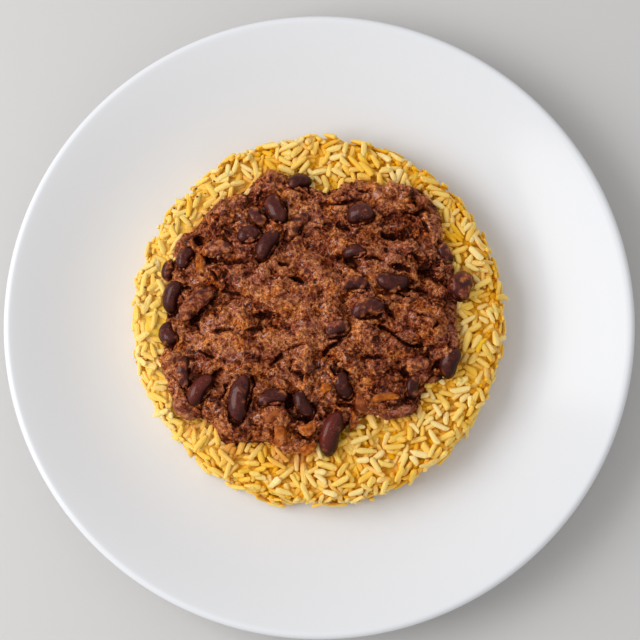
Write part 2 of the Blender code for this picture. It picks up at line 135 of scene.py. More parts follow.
class Shader:
    """The node tree of one material."""

    def __init__(self, name: str) -> None:
        """Starts an empty material.

        Args:
            name: The material's name.
        """
        self.material = bpy.data.materials.new(name)
        self.material.use_nodes = True
        self.tree = self.material.node_tree
        self.tree.nodes.clear()

    def node(
        self,
        kind: str,
        settings: dict[str, object],
        values: dict[int | str, Input],
        output: int | str = 0,
    ) -> Link:
        """Adds any node.

        Args:
            kind: The node's type.
            settings: Its settings, set first. A ramp's stops are (position, colour) pairs.
            values: The number, colour or link of each socket that isn't left alone.
            output: The output socket that is wanted.

        Returns:
            The output.
        """
        made = self.tree.nodes.new(kind)
        for name, value in settings.items():
            if name == "stops":
                self._set_stops(made.color_ramp, value)
            else:
                setattr(made, name, value)
        for key, value in values.items():
            socket = made.inputs[key]
            if isinstance(value, Link):
                self.tree.links.new(value.socket, socket)
            elif socket.type == "RGBA":
                socket.default_value = (*value, 1.0)
            elif socket.type == "VECTOR" and isinstance(value, (int, float)):
                socket.default_value = (value, value, value)
            else:
                socket.default_value = value
        return Link(self, made.outputs[output])

    @staticmethod
    def _set_stops(ramp: bpy.types.ColorRamp, stops: list[tuple[float, Colour]]) -> None:
        """Sets a ramp's stops.

        Args:
            ramp: The ramp.
            stops: (position, colour) pairs in rising order.
        """
        while len(ramp.elements) < len(stops):
            ramp.elements.new(1.0)
        for element, (position, colour) in zip(ramp.elements, stops):
            element.position = position
            element.color = (*colour, 1.0)

    def place(self) -> Link:
        """The point's place on the object, in metres."""
        return self.node("ShaderNodeTexCoord", {}, {}, "Object")

    def stored(self, name: str) -> Link:
        """A value stored on the mesh's points."""
        return self.node("ShaderNodeAttribute", {"attribute_name": name}, {}, "Fac")

    def cloud(self, scale: float, detail: float = 2.0) -> Link:
        """Soft noise between 0 and 1, with the scale in cycles a metre."""
        values = {"Vector": self.place(), "Scale": scale, "Detail": detail}
        return self.node("ShaderNodeTexNoise", {}, values)

    def folds(self, scale: float, sharpness: float) -> Link:
        """Winding ridges.

        Args:
            scale: How often they come, in cycles a metre.
            sharpness: How narrow they are.

        Returns:
            The height, from 0 between the ridges to 1.
        """
        values = {"Vector": self.place(), "Scale": scale, "Detail": 0.0, "Distortion": 0.8}
        swell = self.node("ShaderNodeTexNoise", {}, values)
        valley = self.node("ShaderNodeMath", {"operation": "ABSOLUTE"}, {0: swell - 0.5})
        return (1 - 2 * sharpness * valley).clamped()

    def granules(self, scale: float, stirred: float = 1.3, crease: float = 1.45) -> Link:
        """Rounded bits with creases between them.

        Args:
            scale: How many bits there are to a metre.
            stirred: How far the bits are pushed about, as a share of their size.
            crease: How soon the creases begin.

        Returns:
            The height, from 0 in a crease to 1.
        """
        values = {"Vector": self.place(), "Scale": 0.9 * scale, "Detail": 1.0}
        stir = self.node("ShaderNodeTexNoise", {}, values, "Color")
        where = self.place() + (stir - (0.5, 0.5, 0.5)) * (stirred / scale)
        away = self.node("ShaderNodeTexVoronoi", {}, {"Vector": where, "Scale": scale})
        return (1 - crease * away).clamped()

    def ramp(self, value: Link, stops: list[tuple[float, Colour]]) -> Link:
        """The value turned into a colour through the stops."""
        return self.node("ShaderNodeValToRGB", {"stops": stops}, {"Fac": value})

    def mix(self, share: Input, first: Input, second: Input) -> Link:
        """The first colour where the share is 0, and the second where it is 1."""
        settings = {"data_type": "RGBA"}
        return self.node("ShaderNodeMix", settings, {"Factor": share, 6: first, 7: second}, 2)

    def span(self, value: Link, low: float, high: float) -> Link:
        """Stretches a value smoothly to run from 0 to 1.

        Args:
            value: The value.
            low: What becomes 0.
            high: What becomes 1.

        Returns:
            The stretched value.
        """
        settings = {"interpolation_type": "SMOOTHSTEP"}
        values = {"Value": value, "From Min": low, "From Max": high}
        return self.node("ShaderNodeMapRange", settings, values)

    def bump(self, height: Link, depth: float, strength: float = 1.0) -> Link:
        """A normal from a height between 0 and 1 that stands for the depth in metres."""
        values = {"Strength": strength, "Distance": depth, "Height": height}
        return self.node("ShaderNodeBump", {}, values)

    def surface(self, values: dict[int | str, Input]) -> bpy.types.Material:
        """Closes the tree with a Principled surface.

        Args:
            values: The surface's own values and links.

        Returns:
            The finished material.
        """
        shown = self.node("ShaderNodeBsdfPrincipled", {}, values)
        end = self.tree.nodes.new("ShaderNodeOutputMaterial")
        self.tree.links.new(shown.socket, end.inputs["Surface"])
        return self.material


# ------------ finishes


@dataclass(frozen=True)
class Porcelain:
    """Plain white glaze."""

    colour: Colour = (0.790, 0.801, 0.828)
    roughness: float = 0.13
    unevenness: float = 0.05
    ripple: float = 0.00008

    def material(self) -> bpy.types.Material:
        """Makes the glaze, with the faint unevenness of a fired surface.

        Returns:
            The material.
        """
        shader = Shader("white_glaze")
        drift = shader.cloud(scale=45.0, detail=1.0)
        values = {
            "Base Color": self.colour,
            "Roughness": self.roughness + self.unevenness * drift,
            "Specular IOR Level": 0.25,
            "Normal": shader.bump(shader.cloud(scale=28.0, detail=1.0), self.ripple),
        }
        return shader.surface(values)


@dataclass(frozen=True)
class CookedRice:
    """Moist yellow rice grains. Each point stores its tone, with painted light on crests and at the
    left, its depth, which paints shade, and its stain.
    """

    cream: Colour = (0.99, 0.78, 0.38)
    pale: Colour = (0.99, 0.685, 0.20)
    golden: Colour = (0.96, 0.53, 0.022)
    # Painted shade: the colour of grains lying deep among the others.
    deep: Colour = (0.86, 0.43, 0.002)
    stain: Colour = (0.66, 0.24, 0.02)
    roughness: float = 0.36
    unevenness: float = 0.12
    streaks: float = 0.22
    pitting: float = 0.00012

    def material(self) -> bpy.types.Material:
        """Makes the grains' finish.

        Returns:
            The material.
        """
        shader = Shader("yellow_rice_grains")
        # The cream end is reached by painted light on crests and at the left.
        stops = [(0.0, self.golden), (0.65, self.pale), (1.0, self.cream)]
        grain = shader.ramp(shader.stored("tone"), stops)
        grain = shader.mix(self.streaks * shader.cloud(scale=900.0), grain, self.golden)
        grain = shader.mix(shader.stored("depth"), grain, self.deep)
        grain = shader.mix(shader.stored("stain"), grain, self.stain)
        values = {
            "Base Color": grain,
            "Roughness": self.roughness + self.unevenness * shader.cloud(scale=500.0),
            "IOR": 1.42,
            "Specular IOR Level": 0.26,
            "Specular Tint": (1.0, 0.88, 0.50),
            "Subsurface Weight": 0.55,
            "Subsurface Radius": (1.0, 0.90, 0.45),
            "Subsurface Scale": 0.0005,
            "Normal": shader.bump(shader.cloud(scale=1300.0), self.pitting, strength=0.6),
        }
        return shader.surface(values)


@dataclass(frozen=True)
class RiceInside:
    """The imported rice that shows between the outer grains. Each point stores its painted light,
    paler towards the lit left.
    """

    golden: Colour = (0.80, 0.41, 0.010)
    pale: Colour = (0.88, 0.52, 0.045)
    lit_lemon: Colour = (0.97, 0.64, 0.07)
    relief: float = 0.0008

    def material(self) -> bpy.types.Material:
        """Makes the core's finish.

        Returns:
            The material.
        """
        shader = Shader("packed_rice")
        clumps = shader.cloud(scale=420.0)
        colour = shader.mix(shader.span(clumps, low=0.35, high=0.65), self.golden, self.pale)
        values = {
            "Base Color": shader.mix(shader.stored("tone"), colour, self.lit_lemon),
            "Roughness": 0.5,
            "Specular IOR Level": 0.2,
            "Normal": shader.bump(clumps, self.relief),
        }
        return shader.surface(values)


@dataclass(frozen=True)
class MinceInSauce:
    """Crumbly mince in thick dark sauce. Each point stores its tone, from crevice to crumb, which
    holds painted shade in cracks, gaps and moats.
    """

    # The ramp's dark end is painted shade, reached in cracks, gaps and moats.
    crevice: Colour = (0.030, 0.003, 0.001)
    dark: Colour = (0.155, 0.023, 0.004)
    brown: Colour = (0.42, 0.094, 0.024)
    crumb: Colour = (0.86, 0.34, 0.12)
    plum: Colour = (0.84, 0.76, 1.10)
    amber: Colour = (1.20, 1.06, 0.66)
    grit_light_and_shade: float = 1.08
    grit_middle: float = 0.43
    grit_relief: float = 0.0024
    wetness: float = 0.90

    def look(self, shader: Shader) -> tuple[Link, Link]:
        """The mince's colour, with painted shade in the creases of its fine relief and paler
        crests, and that relief.

        Args:
            shader: The shader that is being made.

        Returns:
            The colour, and the relief's height between 0 and 1.
        """
        curls = shader.folds(scale=300.0, sharpness=2.2)
        bits = shader.granules(scale=480.0)
        fine = shader.folds(scale=900.0, sharpness=2.0)
        # The fine relief's height also sets the tone: painted shade in its creases, paler crests.
        grit = 0.38 * curls + 0.30 * bits + 0.32 * fine
        tone = shader.stored("tone") + self.grit_light_and_shade * (grit - self.grit_middle)
        stops = [(0.10, self.crevice), (0.34, self.dark), (0.56, self.brown), (0.95, self.crumb)]
        meat = shader.ramp(tone.clamped(), stops)
        drift = shader.cloud(scale=150.0, detail=3.0)
        meat = shader.mix(shader.span(drift, low=0.50, high=0.62), meat, meat * self.plum)
        meat = shader.mix(shader.span(drift, low=0.46, high=0.36), meat, meat * self.amber)
        return meat, grit

    def material(self) -> bpy.types.Material:
        """Makes the mince's finish, wet in patches but not in the crevices.

        Returns:
            The material.
        """
        shader = Shader("chili_mince")
        meat, grit = self.look(shader)
        patches = shader.span(shader.cloud(scale=420.0), low=0.46, high=0.62)
        wet = patches * shader.span(shader.stored("tone"), low=0.25, high=0.60)
        values = {
            "Base Color": meat,
            "Roughness": 0.50,
            "IOR": 1.45,
            "Specular IOR Level": 0.20,
            "Specular Tint": (1.0, 0.72, 0.60),
            "Coat Weight": self.wetness * wet,
            "Coat Roughness": 0.12,
            "Coat IOR": 1.5,
            "Coat Tint": (1.0, 0.86, 0.76),
            "Normal": shader.bump(grit, self.grit_relief),
        }
        return shader.surface(values)


@dataclass(frozen=True)
class BeanSkin:
    """Smooth moist bean skin. Each point stores how much sauce lies on it, how red it is and how
    much painted shade it has, most where the skin turns away from the light."""

    dark: Colour = (0.042, 0.006, 0.005)
    brown: Colour = (0.096, 0.016, 0.012)
    red: Colour = (0.120, 0.014, 0.009)
    # Painted shade: the colour that the skin turned away from the light is darkened to.
    shade: Colour = (0.016, 0.002, 0.001)
    sauce_tint: Colour = (0.74, 0.70, 0.74)
    roughness: float = 0.34
    gloss: float = 0.36
    relief: float = 0.0011

    def material(self) -> bpy.types.Material:
        """Makes the skin's finish.

        Returns:
            The material.
        """
        shader = Shader("bean_skin")
        mottle = shader.span(shader.cloud(scale=420.0, detail=3.0), low=0.35, high=0.7)
        skin = shader.mix(mottle, self.dark, self.brown)
        skin = shader.mix(0.7 * shader.stored("red"), skin, self.red)
        sauce = shader.stored("sauce")
        meat, grit = MinceInSauce().look(shader)
        fleck = shader.span(shader.cloud(scale=1700.0, detail=1.0), low=0.66, high=0.74)
        skin = shader.mix(0.25 * fleck, skin, MinceInSauce.crumb)
        # Painted shade, stored as low, darkens the sides turned from the light and thins the coat
        # there.
        skin = shader.mix(shader.stored("low"), skin, self.shade)
        height = 0.7 * grit * sauce + 0.06 * mottle + 0.07 * shader.cloud(scale=900.0)
        values = {
            "Base Color": shader.mix(0.85 * sauce, skin, meat * self.sauce_tint),
            "Roughness": self.roughness + 0.15 * sauce,
            "IOR": 1.45,
            "Specular IOR Level": 0.20,
            "Specular Tint": (1.0, 0.60, 0.52),
            "Coat Weight": self.gloss * (1 - 0.75 * shader.stored("low")),
            "Coat Roughness": 0.06,
            "Coat IOR": 1.45,
            "Normal": shader.bump(height, self.relief),
        }
        return shader.surface(values)


@dataclass(frozen=True)
class SoftVegetable:
    """Tomato, onion or pepper cooked soft in the sauce. Each point stores how bright the flesh
    is and how much mince lies on it."""

    name: str
    flesh: Colour
    edge: Colour
    sauce_tint: Colour = (0.85, 0.85, 0.80)
    roughness: float = 0.34
    relief: float = 0.0011

    def material(self) -> bpy.types.Material:
        """Makes the piece's finish.

        Returns:
            The material.
        """
        shader = Shader(self.name)
        fibre = shader.cloud(scale=420.0, detail=3.0)
        share = shader.span(fibre, low=0.35, high=0.65) * shader.stored("bright")
        flesh = shader.mix(share, self.edge, self.flesh)
        sauce = shader.stored("sauce")
        meat, grit = MinceInSauce().look(shader)
        values = {
            "Base Color": shader.mix(0.9 * sauce, flesh, meat * self.sauce_tint),
            "Roughness": self.roughness + 0.12 * sauce,
            "IOR": 1.42,
            "Specular IOR Level": 0.30,
            "Specular Tint": (1.0, 0.72, 0.55),
            "Subsurface Weight": 0.20,
            "Subsurface Radius": (1.0, 0.35, 0.12),
            "Subsurface Scale": 0.0015,
            "Normal": shader.bump(0.8 * grit * sauce + 0.25 * fibre, self.relief),
        }
        return shader.surface(values)


@dataclass(frozen=True)
class SpiceSpeck:
    """A dark fleck of spice on the rice."""

    dark: Colour = (0.075, 0.028, 0.010)
    brown: Colour = (0.22, 0.09, 0.02)

    def material(self) -> bpy.types.Material:
        """Makes the fleck's finish.

        Returns:
            The material.
        """
        shader = Shader("spice_fleck")
        colour = shader.mix(shader.cloud(scale=600.0), self.dark, self.brown)
        return shader.surface({"Base Color": colour, "Roughness": 0.6})


@dataclass(frozen=True)
class PaleFloor:
    """The plain pale surface that the plate stands on."""

    colour: Colour = (0.62, 0.61, 0.60)

    def material(self) -> bpy.types.Material:
        """The floor's finish."""
        return Shader("pale_floor").surface({"Base Color": self.colour, "Roughness": 0.6})


# ------------ meshes


def add_object(name: str, data: bpy.types.ID) -> bpy.types.Object:
    """Adds an object to the scene.

    Args:
        name: The object's name.
        data: Its mesh, camera or light.

    Returns:
        The object.
    """
    made = bpy.data.objects.new(name, data)
    bpy.context.scene.collection.objects.link(made)
    return made


def make_piece(
    name: str,
    points: np.ndarray,
    faces: np.ndarray,
    material: bpy.types.Material,
    stored: dict[str, np.ndarray] | None = None,
) -> bpy.types.Object:
    """Makes a smooth-shaded object that moves with the dish.

    Args:
        name: The object's name.
        points: The mesh's points, one row each.
        faces: The points of each face, one row each.
        material: The finish.
        stored: Values that the finish reads, one for each point.

    Returns:
        The object.
    """
    mesh = bpy.data.meshes.new(name)
    mesh.from_pydata(points.tolist(), [], faces.tolist())
    mesh.validate()
    mesh.shade_smooth()
    mesh.materials.append(material)
    for key, values in (stored or {}).items():
        layer = mesh.attributes.new(key, "FLOAT", "POINT")
        layer.data.foreach_set("value", np.ascontiguousarray(values, dtype=np.float32))
    piece = add_object(name, mesh)
    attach(piece, "root")
    LOG.info("%s: %d points, %d faces", name, len(points), len(faces))
    return piece


def cloud_at(points: np.ndarray, scale: float, offset: float = 0.0) -> np.ndarray:
    """Smooth noise at each point, about -0.7 to 0.7, with the scale in cycles a metre."""
    shift = Vector((offset, offset * 2, offset * 3))
    return np.array([noise.noise(Vector(point) * scale + shift) for point in points])


def drift_at(points: np.ndarray, scale: float, reach: float) -> np.ndarray:
    """A smooth shift of up to about the reach at each point, the same on every run."""
    noise.seed_set(DRIFT_SEED)
    return reach * np.array([noise.noise_vector(Vector(point) * scale) for point in points])


def hashed(cells: np.ndarray, seed: float) -> np.ndarray:
    """A fixed draw between 0 and 1 for each whole-numbered cell."""
    mixed = np.sin(cells @ np.array((127.1, 311.7, 74.7)) + seed * 19.19) * 43758.5453
    return mixed - np.floor(mixed)


def hashed_rows(cells: np.ndarray, seeds: tuple[float, ...]) -> np.ndarray:
    """A row of fixed draws between 0 and 1 for each cell, one for each seed."""
    return np.stack([hashed(cells, seed) for seed in seeds], axis=1)


def lumpy(
    points: np.ndarray, size: float, least: float = 0.52, spread: float = 0.44, tilt: float = 1.5
) -> tuple[np.ndarray, np.ndarray]:
    """Fills space with overlapping lumps of mince about the given size.

    Args:
        points: The points to look up.
        size: The lumps' size in metres.
        least: The smallest lump's radius, as a share of the size.
        spread: How much larger the largest is.
        tilt: How far the lumps lean to one side.

    Returns:
        For each point, the height of the highest lump there as a share of the size, 0 where there
        is none, and that lump's own draw between 0 and 1.
    """
    place = points / size
    home = np.floor(place)
    high = np.zeros(len(points))
    owner = np.full(len(points), 0.5)
    steps = (-1.0, 0.0, 1.0)
    for step in [np.array((i, j, k)) for i in steps for j in steps for k in steps]:
        cell = home + step
        away = place - cell - hashed_rows(cell, (1.0, 2.0, 3.0))
        lean = hashed_rows(cell, (5.0, 6.0, 7.0)) - 0.5
        radius = least + spread * hashed(cell, 4.0)
        share = np.maximum(0.0, 1 - (away**2).sum(axis=1) / radius**2)
        rise = radius * share**0.45 * (1 + tilt * (away * lean).sum(axis=1))
        owner = np.where(rise > high, hashed(cell, 8.0), owner)
        high = np.maximum(high, rise)
    return high, owner


@dataclass(frozen=True)
class FineMince:
    """The small lumps and curls of mince on any surface."""

    lump_size: float = 0.0040
    lump_rise: float = 0.0011
    bit_size: float = 0.0021
    bit_rise: float = 0.0008
    middle: float = 0.6
    curl_scale: float = 330.0
    curl_narrowness: float = 3.0
    curl_rise: float = 0.0004
    curl_middle: float = 0.4
    tone: float = 0.650
    lump_tone: float = 0.10
    curl_light_and_shade: float = 0.12
    crack_shade: float = 0.18

    def relief(self, points: np.ndarray) -> tuple[np.ndarray, np.ndarray]:
        """The mince on a plain surface.

        Args:
            points: Points on the plain surface.

        Returns:
            How far each point stands out, and its tone, about 0 in a crevice and 1 on a crumb, with
            painted shade in cracks and curl valleys.
        """
        torn = points + drift_at(points, scale=330.0, reach=0.0009)
        high, draw = lumpy(torn, self.lump_size)
        bits, _ = lumpy(torn + drift_at(points, scale=800.0, reach=0.0005), self.bit_size)
        torn = points + drift_at(points, scale=500.0, reach=0.0006)
        valley = self.curl_narrowness * np.abs(cloud_at(torn, self.curl_scale, offset=3.0))
        curls = 1 - np.minimum(1.0, valley) - self.curl_middle
        height = self.lump_rise * (high - self.middle) + self.bit_rise * (bits - self.middle)
        # Painted shade: cracks between lumps and valleys between curls are darkened in the tone.
        crack = 1 - eased(high, low=0.10, high=0.42) + 0.5 * (1 - eased(bits, low=0.10, high=0.45))
        tone = self.tone + self.lump_tone * (draw - 0.5) + self.curl_light_and_shade * curls
        return height + self.curl_rise * curls, tone - self.crack_shade * crack


def point_normals(points: np.ndarray, faces: np.ndarray) -> np.ndarray:
    """Finds the unit normal of a mesh at each of its points.

    Args:
        points: The points.
        faces: The triangles.

    Returns:
        The normals, one row each.
    """
    corner = points[faces]
    across = np.cross(corner[:, 1] - corner[:, 0], corner[:, 2] - corner[:, 0])
    normals = np.zeros_like(points)
    for k in range(3):
        np.add.at(normals, faces[:, k], across)
    return normals / np.maximum(np.linalg.norm(normals, axis=1, keepdims=True), 1e-20)


def eased(value: np.ndarray, low: float, high: float) -> np.ndarray:
    """The value smoothly stretched so that low becomes 0 and high becomes 1."""
    share = np.clip((value - low) / (high - low), 0.0, 1.0)
    return share * share * (3 - 2 * share)


def ring_net(rings: int) -> tuple[np.ndarray, np.ndarray, np.ndarray]:
    """An even net of triangles over a disc, in rings of 6, 12, 18 and so on round its middle.

    Args:
        rings: How many rings there are.

    Returns:
        Each point's share of the radius, its angle, and the triangles.
    """
    shares = [np.zeros(1)]
    angles = [np.zeros(1)]
    faces = [np.array([(0, 1 + k, 1 + (k + 1) % 6) for k in range(6)])]
    for ring in range(1, rings + 1):
        count = 6 * ring
        shares.append(np.full(count, ring / rings))
        angles.append(FULL_TURN * np.arange(count) / count)
        if ring == rings:
            break
        inner = 1 + 3 * ring * (ring - 1)
        outer = inner + count
        side, step = np.divmod(np.arange(6 * (ring + 1)), ring + 1)
        outer_here = outer + np.arange(count + 6)
        outer_next = outer + (np.arange(count + 6) + 1) % (count + 6)
        inner_here = inner + (side * ring + step) % count
        faces.append(np.stack([inner_here, outer_here, outer_next], axis=1))
        side, step = np.divmod(np.arange(count), ring)
        inner_here = inner + np.arange(count)
        inner_next = inner + (np.arange(count) + 1) % count
        outer_next = outer + (side * (ring + 1) + step + 1) % (count + 6)
        faces.append(np.stack([inner_here, outer_next, inner_next], axis=1))
    return np.concatenate(shares), np.concatenate(angles), np.concatenate(faces)


def turned_faces(rings: int, steps: int) -> np.ndarray:
    """The triangles of a turned form: a pole first, then rings of points, then the other pole.

    Args:
        rings: How many rings there are.
        steps: How many points each ring has.

    Returns:
        The triangles, facing outward when the rings go from the top down.
    """
    here = np.arange(steps)
    beside = (here + 1) % steps
    faces = [np.stack([np.zeros(steps, int), 1 + here, 1 + beside], axis=1)]
    for ring in range(rings - 1):
        inner, outer = 1 + ring * steps, 1 + (ring + 1) * steps
        faces.append(np.stack([inner + here, outer + here, outer + beside], axis=1))
        faces.append(np.stack([inner + here, outer + beside, inner + beside], axis=1))
    start = 1 + (rings - 1) * steps
    faces.append(np.stack([start + here, np.full(steps, start + steps), start + beside], axis=1))
    return np.concatenate(faces)


def turned_points(profile: list[tuple[float, float]], steps: int) -> np.ndarray:
    """The points of a turned form.

    Args:
        profile: Radius and height from one pole to the other.
        steps: How many points each ring has.

    Returns:
        The points, in the order of turned_faces.
    """
    turns = FULL_TURN * np.arange(steps) / steps
    ring = np.stack([np.cos(turns), np.sin(turns), np.zeros(steps)], axis=1)
    rings = [ring * radius + UP * height for radius, height in profile[1:-1]]
    top, bottom = (np.array([(0.0, 0.0, end[1])]) for end in (profile[0], profile[-1]))
    return np.concatenate([top, *rings, bottom])


def ball_net(around: int, along: int) -> tuple[np.ndarray, np.ndarray]:
    """A unit ball whose poles lie on Z.

    Args:
        around: Sides round the ball.
        along: Bands from pole to pole.

    Returns:
        The points and the triangles.
    """
    tilts = math.pi * np.arange(along + 1) / along
    profile = list(zip(np.sin(tilts), np.cos(tilts)))
    return turned_points(profile, around), turned_faces(along - 1, around)


def repeated(faces: np.ndarray, copies: int, points_each: int) -> np.ndarray:
    """The faces of many copies of one mesh, joined into one."""
    starts = np.arange(copies)[:, None, None] * points_each
    return (faces[None] + starts).reshape(-1, 3)


# ------------ the plate


@dataclass(frozen=True)
class CoupePlate:
    """A white coupe plate: a flat well, then a sweep that is steepest near the rolled lip."""

    radius: float = 0.135
    height: float = 0.025
    wall: float = 0.0045
    well_radius: float = 0.080
    well_floor: float = 0.007
    sweep_ease: float = 0.737
    lip_radius: float = 0.0021
    under_radius: float = 0.130
    foot_radius: float = 0.074
    foot_width: float = 0.006
    foot_draft: float = 0.0006
    foot_recess: float = 0.0022
    lip_start: float = 110.0
    lip_end: float = -70.0
    well_rings: int = 5
    sweep_rings: int = 39
    lip_rings: int = 14
    under_rings: int = 24
    steps: int = 192
    glaze: Porcelain = Porcelain()

    def lip_point(self, degrees: float) -> tuple[float, float]:
        """Finds a point round the rolled lip.

        Args:
            degrees: The angle round the lip, from its outermost point upward.

        Returns:
            The radius and height.
        """
        turn = math.radians(degrees)
        middle = self.radius - self.lip_radius
        rise = self.height - self.lip_radius
        return middle + self.lip_radius * math.cos(turn), rise + self.lip_radius * math.sin(turn)

    def top(self, radius: float) -> float:
        """Finds the height of the upper surface.

        Args:
            radius: The distance from the centre.

        Returns:
            The height.
        """
        end, end_height = self.lip_point(self.lip_start)
        share = max(0.0, (radius - self.well_radius) / (end - self.well_radius))
        rise = (1 + self.sweep_ease) * share**2 - self.sweep_ease * share**3
        return self.well_floor + (end_height - self.well_floor) * rise

    def profile(self) -> list[tuple[float, float]]:
        """Draws the section from the well's middle, over the lip, to the middle of the underside.

        Returns:
            The radius and height of each point of the section.
        """
        start, end = self.well_radius, self.lip_point(self.lip_start)[0]
        flat = np.linspace(0.0, start, self.well_rings + 1)[:-1]
        well = [(radius, self.well_floor) for radius in flat]
        rising = np.linspace(start, end, self.sweep_rings + 1)[:-1]
        sweep = [(radius, self.top(radius)) for radius in rising]
        turns = np.linspace(self.lip_start, self.lip_end, self.lip_rings)
        lip = [self.lip_point(turn) for turn in turns]
        below = np.linspace(self.under_radius, start, self.under_rings)
        under = [(radius, self.top(radius) - self.wall) for radius in below]
        floor = self.well_floor - self.wall
        inside = self.foot_radius - self.foot_width
        edge = self.foot_draft
        foot = [
            (self.foot_radius + edge, floor),
            (self.foot_radius, floor - edge),
            (self.foot_radius - edge, edge),
            (self.foot_radius - 2 * edge, 0.0),
            (inside + edge, 0.0),
            (inside, edge),
            (inside - edge, self.foot_recess),
            (inside / 2, self.foot_recess),
        ]
        return well + sweep + lip + under + foot + [(0.0, self.foot_recess)]

    def build(self) -> None:
        """Turns the profile and dresses it in glaze."""
        profile = self.profile()
        points = turned_points(profile, self.steps)
        faces = turned_faces(len(profile) - 2, self.steps)
        piece = make_piece("glazed_plate", points, faces, self.glaze.material())
        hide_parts("plate")


# ------------ the heap of chili


class Spot(NamedTuple):
    """A round spot seen from above, and what it changes there."""

    x: float
    y: float
    radius: float
    change: float

    def share(self, x: np.ndarray, y: np.ndarray) -> np.ndarray:
        """How much of the change each place gets: all in the middle, fading past the radius."""
        return np.exp(-((x - self.x) ** 2 + (y - self.y) ** 2) / self.radius**2)


class Line(NamedTuple):
    """A short line on the heap: its middle, its heading in degrees from +X, and its size."""

    x: float
    y: float
    heading: float
    length: float
    width: float = 0.0012
    depth: float = 0.0024


def along_and_across(x: np.ndarray, y: np.ndarray, heading: float) -> tuple[np.ndarray, np.ndarray]:
    """Places measured along a heading, in degrees from +X, and to its left."""
    cos, sin = math.cos(math.radians(heading)), math.sin(math.radians(heading))
    return x * cos + y * sin, y * cos - x * sin


# Clumps of mince that stand out of the heap, and hollows, which have a negative change.
LUMPS = [Spot(*row) for row in (
    (-0.022, 0.059, 0.007, 0.003), (-0.04, 0.044, 0.009, 0.003), (-0.054, 0.037, 0.005, 0.002),
    (-0.037, 0.02, 0.01, 0.003), (0.005, 0.051, 0.008, 0.0015), (0.028, 0.048, 0.008, 0.003),
    (0.041, 0.048, 0.008, 0.002), (0.048, 0.04, 0.007, 0.003), (0.038, 0.028, 0.009, 0.003),
    (0.05, 0.022, 0.006, 0.0025), (0.021, 0.021, 0.007, 0.002), (-0.004, 0.011, 0.01, 0.003),
    (-0.02, 0.004, 0.008, 0.0025), (-0.036, -0.012, 0.009, 0.002), (0.038, 0.008, 0.007, 0.0025),
    (0.048, 0.002, 0.007, 0.002), (0.051, -0.008, 0.007, 0.0025), (0.026, -0.024, 0.01, 0.0025),
    (-0.036, -0.05, 0.008, 0.003), (-0.008, -0.012, 0.009, 0.0015), (0.011, -0.015, 0.008, 0.002),
    (-0.064, -0.017, 0.004, 0.002), (0.033, 0.037, 0.005, -0.005), (0.043, 0.016, 0.005, -0.005),
    (0.009, 0.045, 0.004, -0.003), (-0.026, -0.002, 0.004, -0.004), (-0.01, 0.018, 0.004, -0.003),
    (-0.043, -0.004, 0.004, -0.003), (-0.045, -0.031, 0.004, -0.004),
    (0.042, -0.012, 0.004, -0.005), (0.031, -0.007, 0.004, -0.004),
    (-0.012, -0.023, 0.004, -0.003),
)]

# Gaps between clumps, cut in and darkened with painted shade.
GAPS = [Line(*row) for row in (
    (-0.0437, 0.043, 60, 0.005, 0.0015), (-0.0513, 0.0348, 85, 0.005),
    (-0.0411, 0.0245, -5, 0.019, 0.0014, 0.003), (-0.0462, 0.0181, -60, 0.006),
    (-0.0495, 0.0028, 45, 0.015, 0.0016, 0.0034), (-0.0369, 0.01, -15, 0.007, 0.001, 0.0014),
    (-0.0238, 0.0005, -5, 0.008, 0.0013, 0.002), (-0.0196, -0.0042, -20, 0.006),
    (-0.0412, -0.0055, 10, 0.009, 0.0014), (-0.0149, 0.0233, -15, 0.005, 0.001, 0.0014),
    (-0.0099, 0.0168, -20, 0.006, 0.0014, 0.003), (-0.006, 0.0408, 50, 0.006),
    (0.0109, 0.0503, 12, 0.013, 0.0013, 0.0034), (0.0105, 0.0391, -20, 0.006),
    (0.0418, 0.046, 25, 0.013, 0.0014, 0.0036), (0.046, 0.04, -60, 0.006, 0.0014),
    (0.032, 0.0353, -8, 0.01, 0.002, 0.0034), (0.0219, 0.025, 0, 0.008),
    (0.0341, 0.0215, -20, 0.009, 0.0013, 0.003), (0.0396, 0.0258, 0, 0.005, 0.001, 0.0016),
    (0.049, 0.0172, -25, 0.016, 0.0014, 0.002), (0.0415, 0.0125, -20, 0.009, 0.0012, 0.0022),
    (0.0315, 0.01, -4, 0.013, 0.0014, 0.003), (0.0299, 0.0018, -60, 0.007, 0.0015, 0.0034),
    (0.0494, -0.0038, 60, 0.005), (0.0426, 0.0009, -10, 0.005, 0.001, 0.0016),
    (0.0295, -0.0063, -33, 0.013, 0.0011, 0.0026), (0.0363, -0.0106, -15, 0.007, 0.001, 0.002),
    (0.0418, -0.0106, 20, 0.006, 0.0014, 0.0016), (0.0236, -0.0171, 0, 0.008, 0.0016, 0.0026),
    (0.0054, -0.0124, 40, 0.009, 0.0012, 0.003), (0.0079, -0.0238, -30, 0.007, 0.0014, 0.0028),
    (0.0109, -0.0368, -10, 0.008, 0.0013, 0.003), (0.0498, -0.0201, 70, 0.006, 0.0014, 0.003),
    (0.0363, -0.024, -40, 0.005), (-0.0103, -0.0124, 20, 0.007, 0.001, 0.002),
    (-0.0179, -0.0175, 60, 0.006, 0.0012, 0.0028), (-0.0103, -0.0235, -62, 0.01, 0.0013, 0.0034),
    (-0.012, -0.0355, 85, 0.006, 0.0014, 0.003), (-0.0069, -0.0418, 0, 0.007, 0.0014, 0.003),
    (-0.0483, -0.0154, -25, 0.007, 0.001, 0.0022), (-0.0437, -0.0248, 60, 0.006),
    (-0.0403, -0.0312, 60, 0.006), (-0.028, -0.0295, 88, 0.007), (-0.0619, -0.0111, 70, 0.006),
)]

